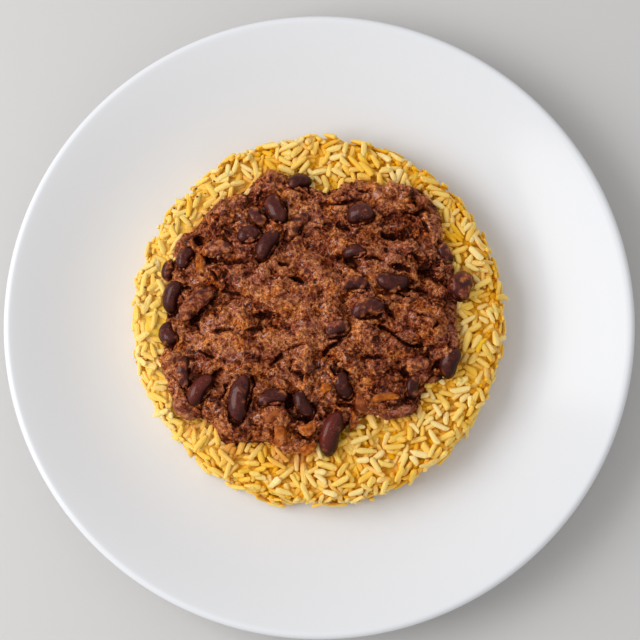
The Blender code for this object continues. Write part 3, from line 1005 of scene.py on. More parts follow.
# Ridges of mince that stand out.
RIDGES = [Line(*row) for row in (
    (-0.032, 0.03, 110, 0.0075, 0.0012, 0.0016), (-0.029, 0.0268, 10, 0.006, 0.0011, 0.0013),
    (-0.035, 0.029, 105, 0.0095, 0.002, 0.0016), (-0.015, -0.04, 20, 0.009, 0.0012, 0.001),
    (-0.017, -0.0432, -10, 0.008, 0.0012, 0.001), (0.024, 0.0571, 80, 0.004, 0.002, 0.0018),
    (0.0303, 0.0567, 60, 0.0045, 0.0022, 0.002), (-0.0205, 0.0625, 90, 0.005, 0.0024, 0.0024),
    (-0.064, -0.0175, 20, 0.0045, 0.0024, 0.002), (-0.0652, -0.0235, 0, 0.0045, 0.0024, 0.002),
)]

# Parts of the heap that are paler, or darker where the change is negative.
SHADES = [Spot(*row) for row in (
    (-0.0039, 0.0331, 0.012, 0.08), (-0.0293, 0.0009, 0.015, 0.09), (0.001, -0.013, 0.012, 0.15),
    (-0.0259, 0.034, 0.012, -0.12), (-0.042, 0.034, 0.01, -0.07), (0.0145, 0.0385, 0.012, -0.18),
    (0.0363, -0.0291, 0.018, -0.15), (0.039, -0.04, 0.012, -0.12), (0.024, -0.023, 0.013, -0.09),
    (-0.0314, 0.0305, 0.003, 0.12), (-0.033, -0.051, 0.006, -0.2), (-0.0545, -0.039, 0.008, -0.18),
    (-0.006, -0.04, 0.006, -0.1), (-0.0425, 0.0117, 0.009, 0.12), (-0.048, 0.028, 0.01, -0.1),
    (-0.029, 0.029, 0.009, -0.08), (-0.042, 0.023, 0.011, -0.1), (0.0447, 0.0009, 0.013, -0.11),
    (0.01, -0.04, 0.01, -0.08), (-0.03, -0.048, 0.01, -0.08),
)]

# The heap's reach from the centre, every 7.5 degrees anticlockwise from +X.
EDGE_RADII = (
    0.0580, 0.0595, 0.0600, 0.0620, 0.0615, 0.0665, 0.0705, 0.0715,
    0.0680, 0.0640, 0.0635, 0.0580, 0.0570, 0.0595, 0.0655, 0.0670,
    0.0650, 0.0670, 0.0670, 0.0665, 0.0695, 0.0680, 0.0660, 0.0650,
    0.0650, 0.0660, 0.0695, 0.0695, 0.0705, 0.0660, 0.0635, 0.0660,
    0.0605, 0.0565, 0.0580, 0.0560, 0.0535, 0.0500, 0.0465, 0.0450,
    0.0465, 0.0520, 0.0565, 0.0545, 0.0545, 0.0600, 0.0615, 0.0595,
)


@dataclass(frozen=True)
class HeapForm:
    """The main form of the heap, the same as its solid's: a lobed edge and a clumpy crown."""

    base: float = 0.0243
    shoulder_width: float = 0.0060
    shoulder_height: float = 0.0066
    crown_height: float = 0.0046
    clump_relief: float = 0.0070
    clump_scale: float = 80.0
    clump_middle: float = 0.25
    clump_softness: float = 0.06

    def edge(self, angle: np.ndarray) -> np.ndarray:
        """Finds the heap's edge, smooth through the radii of EDGE_RADII.

        Args:
            angle: Angles from +X.

        Returns:
            The edge's distances from the centre.
        """
        radii = np.array(EDGE_RADII)
        place = (angle % FULL_TURN) / (FULL_TURN / len(radii))
        index = np.floor(place).astype(int)
        share = place - index
        before, here, after, beyond = (radii[(index + k) % len(radii)] for k in (-1, 0, 1, 2))
        return (
            here * (2 * share**3 - 3 * share**2 + 1)
            + (after - before) / 2 * (share**3 - 2 * share**2 + share)
            + after * (3 * share**2 - 2 * share**3)
            + (beyond - here) / 2 * (share**3 - share**2)
        )

    def clumps(self, x: np.ndarray, y: np.ndarray) -> np.ndarray:
        """Raises rounded clumps with sharp valleys between them.

        Args:
            x: Places from left to right.
            y: Places from front to back.

        Returns:
            The relief, as a share of its full height.
        """
        flat = np.stack([x, y, np.zeros_like(x)], axis=1)
        softness = self.clump_softness
        return np.hypot(cloud_at(flat, self.clump_scale), softness) - softness / 2

    def height(self, x: np.ndarray, y: np.ndarray) -> np.ndarray:
        """Finds the height of the heap's surface above its underside.

        Args:
            x: Places from left to right.
            y: Places from front to back.

        Returns:
            The heights.
        """
        edge = self.edge(np.arctan2(y, x))
        reach = np.hypot(x, y)
        inward = np.clip((edge - reach) / self.shoulder_width, 0.0, 1.0)
        height = self.shoulder_height + self.crown_height * np.maximum(0.0, 1 - (reach / edge) ** 2)
        for lump in LUMPS:
            height += lump.change * lump.share(x, y)
        height += self.clump_relief * (self.clumps(x, y) - self.clump_middle)
        return height * np.sqrt(1 - (1 - inward) ** 2)

    def height_at(self, x: float, y: float) -> float:
        """Height of the heap's surface at one place."""
        return float(self.height(np.array([x]), np.array([y]))[0])


@dataclass(frozen=True)
class ChiliHeap:
    """Mince in sauce: a relief over the heap's form, with loose crumbs on it."""

    form: HeapForm = HeapForm()
    fine: FineMince = FineMince()
    mince: MinceInSauce = MinceInSauce()
    rings: int = 180
    lie: float = -20.0
    stretch: float = 1.4
    lump_size: float = 0.0085
    lump_rise: float = 0.0029
    lump_middle: float = 0.62
    crack_depth: float = 0.0008
    valley_depth: float = 0.0006
    hollow_share: float = 0.55
    calm: Spot = Spot(-0.010, 0.012, 0.024, -0.45)
    rough_middle: float = 0.75
    rough_spread: float = 0.5
    ragged: float = 0.0016
    line_reach: float = 0.70
    line_girth: float = 0.75
    # Moats round bare beans, deepest on their near side, where they also get painted shade.
    moat_middle: float = 1.06
    moat_width: float = 0.12
    moat_depth: float = 0.0016
    moat_shade: float = 0.95
    lee_way: tuple[float, float] = (0.5, -0.87)
    lee_middle: float = 0.40
    lee_spread: float = 0.70
    least: float = 0.0012
    free_share: float = 0.6
    levelled: float = 0.7
    level_from: float = 0.0365
    level_to: float = 0.0392
    tucked: float = 0.0012
    valley_shade: float = 0.08
    lump_tone: float = 0.16
    draw_tone: float = 0.12
    crack_shade: float = 0.24
    ridge_tone: float = 90.0
    gap_shade: float = 0.60
    crumb_seed: int = 21
    crumbs: int = 420
    crumb_shapes: int = 10
    crumb_size: float = 0.0003
    crumb_spread: float = 0.0006
    crumb_widths: tuple[float, float] = (0.6, 1.0)
    crumb_lengths: tuple[float, float] = (1.0, 1.8)
    crumb_lifts: tuple[float, float] = (-0.1, 0.55)
    crumb_knobs: float = 0.75
    crumb_upright: float = 0.15
    crumb_tone: float = 0.62
    crumb_tone_spread: float = 0.17

    def relief(self, points: np.ndarray) -> tuple[np.ndarray, np.ndarray]:
        """The mince's own relief over the heap's form.

        Args:
            points: Points on the heap's plain form.

        Returns:
            How far each point stands out along its normal, and its tone from crevice to crumb, with
            painted shade in cracks, valleys, gaps and moats.
        """
        x, y, up = points.T
        ahead, aside = along_and_across(x, y, self.lie)
        laid = np.stack([ahead / self.stretch, aside, up], axis=1)
        laid += drift_at(points, scale=130.0, reach=0.0022)
        laid += drift_at(points, scale=430.0, reach=0.0007)
        high, draw = lumpy(laid, self.lump_size)
        crack = 1 - eased(high, low=0.10, high=0.44)
        high = high - self.lump_middle
        rough = self.rough_middle + self.rough_spread * cloud_at(points, scale=60.0, offset=7.0)
        rough *= 1 + self.calm.change * self.calm.share(x, y)
        valley = 1 - eased(self.form.clumps(x, y), low=0.00, high=0.08)
        gap_depth, dark = self.gaps(points)
        raised, _ = self.lines(points, RIDGES)
        height, tone = self.fine.relief(points)
        height += rough * (self.lump_rise * high - self.crack_depth * crack)
        height += raised - gap_depth - self.valley_depth * valley
        for lump in LUMPS:
            height += self.hollow_share * max(0.0, -lump.change) * lump.share(x, y)
        height = self.held(height, up - self.form.base - self.least)
        crown = up + np.maximum(0.0, height)
        height *= 1 - self.levelled * eased(crown, self.level_from, self.level_to)
        # Painted light and shade in the tone: higher lumps paler; cracks, valleys, gaps and moats
        # darker.
        lumps = self.lump_tone * high + self.draw_tone * (draw - 0.5) - self.crack_shade * crack
        tone += rough * lumps - self.valley_shade * valley
        tone += self.ridge_tone * raised - self.gap_shade * dark
        for shade in SHADES:
            tone += shade.change * shade.share(x, y)
        return height, np.clip(tone, 0.0, 1.0)

    def held(self, height: np.ndarray, room: np.ndarray) -> np.ndarray:
        """Eases off the deepest cuts before they use up the room under them.

        Args:
            height: How far each point stands out.
            room: The room under it.

        Returns:
            The relief that is left.
        """
        free = self.free_share
        eased_off = (1 - free) * room * np.tanh(height / room + free) - free * room
        return np.where(height < -free * room, eased_off, height)

    def gaps(self, points: np.ndarray) -> tuple[np.ndarray, np.ndarray]:
        """The gaps between clumps, and the moats on the near side of bare beans, cut in and given
        painted shade.

        Args:
            points: Points on the heap's plain form.

        Returns:
            How deep the gaps cut in at each point, and how much painted shade it has there, from 0
            to 1.
        """
        depth, dark = self.lines(points, GAPS)
        torn = points + drift_at(points, scale=190.0, reach=self.ragged)
        for bean in BEANS.values():
            x, y = torn[:, 0] - bean.x, torn[:, 1] - bean.y
            ahead, aside = along_and_across(x, y, bean.heading)
            out = np.hypot(ahead / (bean.length / 2), aside / (bean.width / 2))
            facing = (self.lee_way[0] * x + self.lee_way[1] * y) / np.maximum(np.hypot(x, y), 1e-6)
            share = np.clip(self.lee_middle + self.lee_spread * facing, 0.0, 1.0)
            share *= 1 - bean.cover.value**2
            share *= np.exp(-(((out - self.moat_middle) / self.moat_width) ** 2))
            depth = np.maximum(depth, self.moat_depth * share)
            dark = np.maximum(dark, self.moat_shade * share)
        return depth, eased(dark, low=0.10, high=0.75)

    def lines(self, points: np.ndarray, drawn: list[Line]) -> tuple[np.ndarray, np.ndarray]:
        """Short ragged lines.

        Args:
            points: Points on the heap's plain form.
            drawn: The lines.

        Returns:
            The lines' depth at each point, and how near its middle the point lies, from 0 to 1.
        """
        torn = points + drift_at(points, scale=190.0, reach=self.ragged)
        depth = np.zeros(len(points))
        near = np.zeros(len(points))
        for line in drawn:
            ahead, aside = along_and_across(torn[:, 0] - line.x, torn[:, 1] - line.y, line.heading)
            ahead, aside = ahead / self.line_reach, aside / self.line_girth
            ahead, aside = ahead / line.length, aside / line.width
            share = np.clip(1 - ahead**2, 0.0, 1.0) * np.exp(-(aside**2))
            depth = np.maximum(depth, line.depth * share)
            near = np.maximum(near, share)
        return depth, near

    def net(self) -> tuple[np.ndarray, np.ndarray, np.ndarray]:
        """An even net over the heap's plain form, over its shoulder and down to its foot.

        Returns:
            The points, the triangles, and which points lie on the rim.
        """
        share, angle, faces = ring_net(self.rings)
        width, rise = self.form.shoulder_width, self.form.shoulder_height
        flat = self.form.edge(angle) - width
        quarter = math.pi / 4 * (width + rise)
        along = share * (flat + quarter)
        turn = np.clip((flat + quarter - along) / quarter, 0.0, 1.0) * math.pi / 2
        reach = np.where(along < flat, along, flat + width * np.cos(turn))
        x, y = reach * np.cos(angle), reach * np.sin(angle)
        points = np.stack([x, y, self.form.base + self.form.height(x, y)], axis=1)
        return points, faces, share > 1 - 1e-9

    def build_surface(self, material: bpy.types.Material) -> tuple[np.ndarray, np.ndarray]:
        """Raises the mince's relief on the heap's form and closes it below.

        Args:
            material: The mince's finish.

        Returns:
            The surface's points and their normals.
        """
        points, faces, rim = self.net()
        normals = point_normals(points, faces)
        height, tone = self.relief(points)
        normals[rim, 2] = 0.0
        surface = points + normals * height[:, None]
        foot = self.form.base - self.tucked
        surface[rim, 2] = foot
        edge = np.nonzero(rim)[0]
        floor = np.stack([np.roll(edge, -1), edge, np.full(len(edge), len(surface))], axis=1)
        piece = make_piece(
            "mince_heap",
            np.concatenate([surface, UP[None] * foot]),
            np.concatenate([faces, floor]),
            material,
            {"tone": np.append(tone, 0.2)},
        )
        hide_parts("chili")
        return surface, point_normals(surface, faces)

    def build_crumbs(
        self, material: bpy.types.Material, surface: np.ndarray, normals: np.ndarray
    ) -> None:
        """Scatters small irregular crumbs of mince, about half sunk, over the heap.

        Args:
            material: The mince's finish.
            surface: The heap's points.
            normals: Their normals.
        """
        draw = np.random.default_rng(self.crumb_seed)
        ball, faces = ball_net(around=8, along=6)
        shapes = []
        for k in range(self.crumb_shapes):
            knobs = cloud_at(ball * 1.3, 1.0, offset=7.7 + 3.1 * k)
            knobs += 0.5 * cloud_at(ball * 3.1, 1.0, offset=1.3 * k)
            shapes.append(ball * (1 + self.crumb_knobs * knobs)[:, None])
        spots = draw.integers(0, len(surface), self.crumbs * 2)
        spots = [spot for spot in spots if normals[spot, 2] > self.crumb_upright][: self.crumbs]
        count = len(spots)
        size = self.crumb_size + self.crumb_spread * draw.random(count) ** 2
        width = size * draw.uniform(*self.crumb_widths, count)
        length = size * draw.uniform(*self.crumb_lengths, count)
        body = np.array(shapes)[draw.integers(0, self.crumb_shapes, count)]
        body = body * np.stack([size, width, length], axis=1)[:, None, :]
        ways = [Vector(way).to_track_quat("Z", "Y") for way in draw.normal(size=(count, 3))]
        turns = np.array([way.to_matrix() for way in ways])
        body = np.einsum("gij,gkj->gki", turns, body)
        lift = size * draw.uniform(*self.crumb_lifts, count)
        middle = surface[spots] + normals[spots] * lift[:, None]
        tone = np.clip(draw.normal(self.crumb_tone, self.crumb_tone_spread, count), 0.15, 1.0)
        make_piece(
            "mince_crumbs",
            (body + middle[:, None, :]).reshape(-1, 3),
            repeated(faces, count, len(ball)),
            material,
            {"tone": np.repeat(tone, len(ball))},
        )

    def build(self) -> None:
        """Builds the heap's surface and its crumbs."""
        material = self.mince.material()
        surface, normals = self.build_surface(material)
        self.build_crumbs(material, surface, normals)


# ------------ beans and vegetables


class Cover(Enum):
    """How much sauce lies on a bean."""

    BARE = 0.0
    STREAKED = 0.45
    COATED = 0.8


class Bean(NamedTuple):
    """A bean: its middle, its heading in degrees from +X, its size, the share of its thickness
    that stands out of the sauce, the sauce on it, and how red and how dark its skin is."""

    x: float
    y: float
    heading: float
    length: float
    width: float
    proud: float
    cover: Cover = Cover.BARE
    red: float = 0.0
    dark: float = 0.0


class Chunk(NamedTuple):
    """A piece of cooked vegetable: its middle, heading, length, width, thickness, the share of its
    thickness that stands out of the sauce, how bright its flesh is and the sauce on it."""

    x: float
    y: float
    heading: float
    length: float
    width: float
    thickness: float
    proud: float
    bright: float
    sauce: float = 0.0


BEANS = {
    "bean_top_edge": Bean(-0.0086, 0.0598, 18, 0.0116, 0.0074, 0.6, dark=0.2),
    "bean_glossy": Bean(-0.0185, 0.0472, 114, 0.0141, 0.0078, 0.62, red=0.3),
    "bean_glossy_mate": Bean(-0.0266, 0.0438, 130, 0.0104, 0.0064, 0.45, Cover.STREAKED),
    "bean_dark_left": Bean(-0.0302, 0.0356, 15, 0.0104, 0.0072, 0.5),
    "bean_slant_a": Bean(-0.0223, 0.0312, 56, 0.0148, 0.0074, 0.62, dark=0.25),
    "bean_slant_b": Bean(-0.0097, 0.0396, 55, 0.0142, 0.0064, 0.42, Cover.STREAKED, dark=0.25),
    "bean_upper_right": Bean(0.0174, 0.0445, 10, 0.0124, 0.009, 0.55),
    "bean_sunk_mid": Bean(0.0145, 0.0281, 10, 0.0098, 0.0062, 0.34, dark=0.2),
    "bean_right_edge_high": Bean(0.0537, 0.029, 120, 0.0102, 0.006, 0.4, Cover.STREAKED),
    "bean_left_high": Bean(-0.0574, 0.0262, 60, 0.0102, 0.0064, 0.5),
    "bean_left_high_back": Bean(
        -0.0646, 0.0215, 80, 0.0094, 0.0054, 0.6, Cover.STREAKED, dark=0.35
    ),
    "bean_left_mid": Bean(-0.0626, 0.0096, 76, 0.0148, 0.0078, 0.6, dark=0.3),
    "bean_left_covered": Bean(-0.0527, 0.006, 45, 0.019, 0.0078, 0.55, Cover.COATED),
    "bean_left_low": Bean(-0.0643, -0.0062, 105, 0.0112, 0.0078, 0.6),
    "bean_left_top_covered": Bean(-0.0433, 0.0294, 5, 0.0128, 0.0066, 0.45, Cover.COATED),
    "bean_low_left_upright": Bean(-0.0575, -0.0228, 92, 0.0136, 0.0058, 0.45, Cover.STREAKED),
    "bean_low_left_red": Bean(-0.0503, -0.0306, 55, 0.0152, 0.0074, 0.65, red=0.8),
    "bean_low_left_edge": Bean(-0.0562, -0.0385, 150, 0.013, 0.0066, 0.5, Cover.COATED),
    "bean_kidney_left": Bean(-0.0336, -0.0345, 81, 0.0202, 0.009, 0.62),
    "bean_kidney_flat": Bean(-0.0198, -0.0342, 12, 0.0132, 0.0072, 0.55),
    "bean_dark_low": Bean(-0.0068, -0.0368, 115, 0.0126, 0.0068, 0.5, dark=0.5),
    "bean_wrinkled": Bean(0.0102, -0.029, 110, 0.012, 0.0072, 0.45, dark=0.3),
    "bean_kidney_front": Bean(0.0052, -0.0492, 76, 0.02, 0.0092, 0.7, red=1.0),
    "bean_black_right": Bean(0.0396, -0.029, 85, 0.0102, 0.006, 0.45, dark=0.45),
    "bean_knob_right": Bean(0.0415, -0.0196, 20, 0.0096, 0.006, 0.45, Cover.COATED),
    "bean_right_low": Bean(0.0556, -0.019, 70, 0.0142, 0.0084, 0.5, dark=0.2),
    "bean_low_right_edge": Bean(0.0326, -0.0396, 10, 0.0142, 0.006, 0.45, Cover.COATED),
    "bean_mid_a": Bean(0.0148, 0.0141, 3, 0.0126, 0.0066, 0.42, Cover.STREAKED),
    "bean_mid_b": Bean(0.0204, 0.0036, 15, 0.0148, 0.0084, 0.5, Cover.STREAKED),
    "bean_mid_c": Bean(0.0076, -0.0048, 20, 0.0106, 0.0072, 0.42, Cover.STREAKED),
    "bean_right_mid": Bean(0.0311, 0.0153, 175, 0.0146, 0.0084, 0.55, dark=0.15),
    "bean_right_round": Bean(0.0605, 0.0142, 75, 0.0134, 0.0106, 0.55, Cover.STREAKED),
}

CHUNKS = {
    "tomato_front": Chunk(-0.0046, -0.0549, 30, 0.0076, 0.0062, 0.0046, 0.6, 1.0, sauce=-0.15),
    "tomato_corner": Chunk(-0.0168, -0.05, 100, 0.01, 0.0068, 0.0046, 0.6, 0.55, sauce=0.05),
    "tomato_sunk": Chunk(-0.0046, -0.0468, 20, 0.0074, 0.0054, 0.0042, 0.5, 0.7, sauce=0.1),
    "onion_folded": Chunk(-0.019, -0.042, 8, 0.0096, 0.0056, 0.0042, 0.55, 0.8, sauce=0.05),
    "onion_slab": Chunk(0.0185, -0.0363, 105, 0.009, 0.0064, 0.0042, 0.55, 0.7),
    "pepper_bit": Chunk(0.003, -0.0302, 20, 0.005, 0.0046, 0.004, 0.55, 1.0, sauce=-0.3),
    "pepper_long": Chunk(0.0275, -0.034, 10, 0.0126, 0.0044, 0.004, 0.5, 0.45, sauce=0.22),
    "pepper_left": Chunk(-0.0508, 0.0236, 100, 0.0084, 0.0048, 0.0042, 0.55, 0.45, sauce=0.15),
    "tomato_skin": Chunk(0.0144, -0.0436, 88, 0.0088, 0.0036, 0.0038, 0.6, 0.6, sauce=0.05),
}

VEGETABLES = {
    "tomato": SoftVegetable("stewed_tomato", flesh=(0.66, 0.185, 0.016), edge=(0.26, 0.050, 0.008)),
    "onion": SoftVegetable("stewed_onion", flesh=(0.42, 0.115, 0.026), edge=(0.18, 0.036, 0.009)),
    "pepper": SoftVegetable("stewed_pepper", flesh=(0.72, 0.22, 0.014), edge=(0.28, 0.060, 0.008)),
}


@dataclass(frozen=True)
class Toppings:
    """The beans and the vegetable pieces, lying on the heap where their solids lie."""

    form: HeapForm = HeapForm()
    fine: FineMince = FineMince()
    slope_limit: float = math.radians(28)
    flatness: float = 0.86
    bend: float = 0.14
    bend_centre: float = 0.4
    notch: float = 0.07
    notch_length: float = 0.35
    bluntness: float = 0.20
    # The way the light comes from, for the beans' painted shade.
    lit_way: tuple[float, float, float] = (-0.31, 0.40, 0.86)
    least_lit: float = 0.1
    dent: float = 0.00010
    bean_coat: float = 0.00030
    bean_mince: float = 0.45
    chunk_squareness: float = 3.2
    chunk_taper: float = 0.45
    chunk_lumps: float = 0.22
    chunk_curve: float = 0.10
    chunk_turn: float = 2.2
    chunk_droop: float = 0.16
    chunk_ripple: float = 0.0007
    chunk_coat: float = 0.0002
    chunk_mince: float = 0.6

    def lying(self, item: Bean | Chunk, thickness: float) -> Matrix:
        """The matrix of a topping that lies along the heap's slope at its place.

        Args:
            item: The bean or the vegetable piece.
            thickness: Its thickness.

        Returns:
            Its matrix.
        """
        heading = math.radians(item.heading)
        ahead = Vector((math.cos(heading), math.sin(heading))) * item.length / 2
        aside = Vector((-math.sin(heading), math.cos(heading))) * item.width / 2
        middle = Vector((item.x, item.y))
        steps = (ahead, -ahead, aside, -aside, Vector((0.0, 0.0)))
        front, back, left, right, here = (self.form.height_at(*(middle + step)) for step in steps)
        limit = self.slope_limit
        pitch = max(-limit, min(limit, math.atan2(front - back, item.length)))
        roll = max(-limit, min(limit, math.atan2(left - right, item.width)))
        bed = (front + back + left + right + here) / 5
        height = self.form.base + bed + thickness * (item.proud - 0.5)
        turn = Matrix.Rotation(heading, 4, "Z")
        turn = turn @ Matrix.Rotation(-pitch, 4, "Y") @ Matrix.Rotation(roll, 4, "X")
        return Matrix.Translation((item.x, item.y, height)) @ turn

    def moved(self, points: np.ndarray, matrix: Matrix) -> np.ndarray:
        """Moves a topping to its place, raised where needed to clear the rice.

        Args:
            points: A topping's points about its own middle.
            matrix: Where it lies.

        Returns:
            The points in the dish.
        """
        spin = np.array(matrix.to_3x3())
        where = points @ spin.T + np.array(matrix.translation)
        return where + UP * max(0.0, self.form.base - where[:, 2].min())

    def bean_points(self, bean: Bean, ball: np.ndarray) -> np.ndarray:
        """A bean's points about its own middle.

        Args:
            bean: The bean.
            ball: A unit ball with its poles on X.

        Returns:
            The points, with the kidney's bend and notch.
        """
        share, aside, up = ball.T
        hollow = np.maximum(0.0, -aside) * np.exp(-((share / self.notch_length) ** 2))
        shift = bean.width * (self.notch * hollow - self.bend * (share**2 - self.bend_centre))
        half = bean.width / 2 * (1 + self.bluntness * (1 - share**2) * share**2)
        ahead = share * bean.length / 2
        return np.stack([ahead, aside * half + shift, up * half * self.flatness], axis=1)

    def build_beans(self) -> None:
        """Builds every bean with its skin and the sauce on it."""
        material = BeanSkin().material()
        ball, faces = ball_net(around=40, along=30)
        ball = ball[:, [2, 0, 1]]
        for k, (name, bean) in enumerate(BEANS.items()):
            plain = self.bean_points(bean, ball)
            where = self.moved(plain, self.lying(bean, bean.width * self.flatness))
            normals = point_normals(where, faces)
            patches = cloud_at(where, scale=330.0, offset=5.0 + k) + bean.cover.value
            sauce = eased(patches, low=0.30, high=0.80)
            coat, tone = self.fine.relief(where)
            dents = cloud_at(plain * np.array((0.4, 1.0, 1.0)), scale=700.0, offset=9.0 + k)
            out = self.dent * dents + sauce * (self.bean_coat + self.bean_mince * coat)
            # Painted shade: skin facing away from lit_way, and all of a dark bean, is stored as
            # low.
            lit = eased(normals @ self.lit_way, low=0.05, high=0.80)
            lit = (self.least_lit + (1 - self.least_lit) * lit) * (1 - bean.dark)
            red = np.full(len(where), bean.red)
            where = where + normals * out[:, None]
            stored = {"sauce": sauce, "red": red, "tone": tone, "low": 1 - lit}
            piece = make_piece(f"{name}_cooked", where, faces, material, stored)
            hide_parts(name)

    def chunk_points(self, chunk: Chunk, ball: np.ndarray, seed: float) -> np.ndarray:
        """A vegetable piece's points about its own middle: a soft block, narrower at one end.

        Args:
            chunk: The vegetable piece.
            ball: A unit ball.
            seed: Which draw of the uneven surface it has.

        Returns:
            The points.
        """
        power = self.chunk_squareness
        reach = np.maximum((np.abs(ball) ** power).sum(axis=1), 1e-9) ** (1 / power)
        block = ball / reach[:, None]
        points = block * np.array((chunk.length, chunk.width, chunk.thickness)) / 2
        points[:, 1] *= 1 - self.chunk_taper * (block[:, 0] / 2 + 0.5)
        points *= (1 + self.chunk_lumps * cloud_at(block, scale=0.9, offset=seed))[:, None]
        curve = np.sin(self.chunk_turn * block[:, 0] + seed)
        points[:, 1] += self.chunk_curve * chunk.width * curve
        points[:, 2] -= self.chunk_droop * chunk.thickness * block[:, 0] ** 2
        points[:, 2] += self.chunk_ripple * cloud_at(points, scale=230.0, offset=seed)
        return points

    def build_chunks(self) -> None:
        """Builds every vegetable piece with the sauce on it."""
        finishes = {kind: finish.material() for kind, finish in VEGETABLES.items()}
        ball, faces = ball_net(around=36, along=28)
        for k, (name, chunk) in enumerate(CHUNKS.items()):
            plain = self.chunk_points(chunk, ball, 3.0 + k)
            where = self.moved(plain, self.lying(chunk, chunk.thickness))
            patches = cloud_at(where, scale=240.0, offset=4.0 + k) + chunk.sauce
            sauce = eased(patches, low=0.05, high=0.40)
            coat, tone = self.fine.relief(where)
            out = sauce * (self.chunk_coat + self.chunk_mince * coat)
            where = where + point_normals(where, faces) * out[:, None]
            finish = finishes[name.split("_")[0]]
            stored = {"sauce": sauce, "tone": tone, "bright": np.full(len(where), chunk.bright)}
            piece = make_piece(f"{name}_cooked", where, faces, finish, stored)
            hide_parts(name)

    def build(self) -> None:
        """Builds the beans and the vegetable pieces."""
        self.build_beans()
        self.build_chunks()


# ------------ the rice


# Sauce that has run into the rice.
STAINS = [Spot(*row) for row in (
    (-0.0526, -0.0434, 0.004, 0.95), (-0.0373, -0.0547, 0.004, 0.95),
    (-0.0155, -0.057, 0.005, 0.95), (-0.0082, -0.0585, 0.005, 0.95),
    (0.0515, 0.0349, 0.0035, 0.95),
)]

# Flecks of spice on the rice: place and size.
SPECKS = (
    (-0.0531, 0.0579, 0.0009), (-0.0526, 0.054, 0.0008), (-0.0492, 0.0557, 0.0007),
    (-0.0578, 0.0466, 0.0008), (-0.0625, 0.0419, 0.0009), (-0.0625, 0.0492, 0.0008),
    (-0.0702, 0.0189, 0.0008), (-0.0744, 0.0142, 0.0009), (-0.0702, 0.0111, 0.0008),
    (-0.0736, 0.0042, 0.0009), (-0.0445, 0.0631, 0.0007), (-0.0454, 0.0609, 0.0009),
    (-0.0091, 0.0661, 0.0008), (-0.0659, -0.0374, 0.0008), (-0.0599, -0.0417, 0.0009),
    (-0.0608, -0.0456, 0.0007),
)


class Grain(NamedTuple):
    """A grain's place on the unrolled skin, its heading, its size and the skin's radius there."""

    along: float
    angle: float
    heading: float
    length: float
    width: float
    radius: float


class Landing(NamedTuple):
    """How a grain may come to rest: the steepest that it may lie, how many of the 27 places under
    it may sink in, how high it may stand, and how much steeper it lies than those below."""

    steepest: float
    sunk: int
    ceiling: float
    tipped: float = 0.0


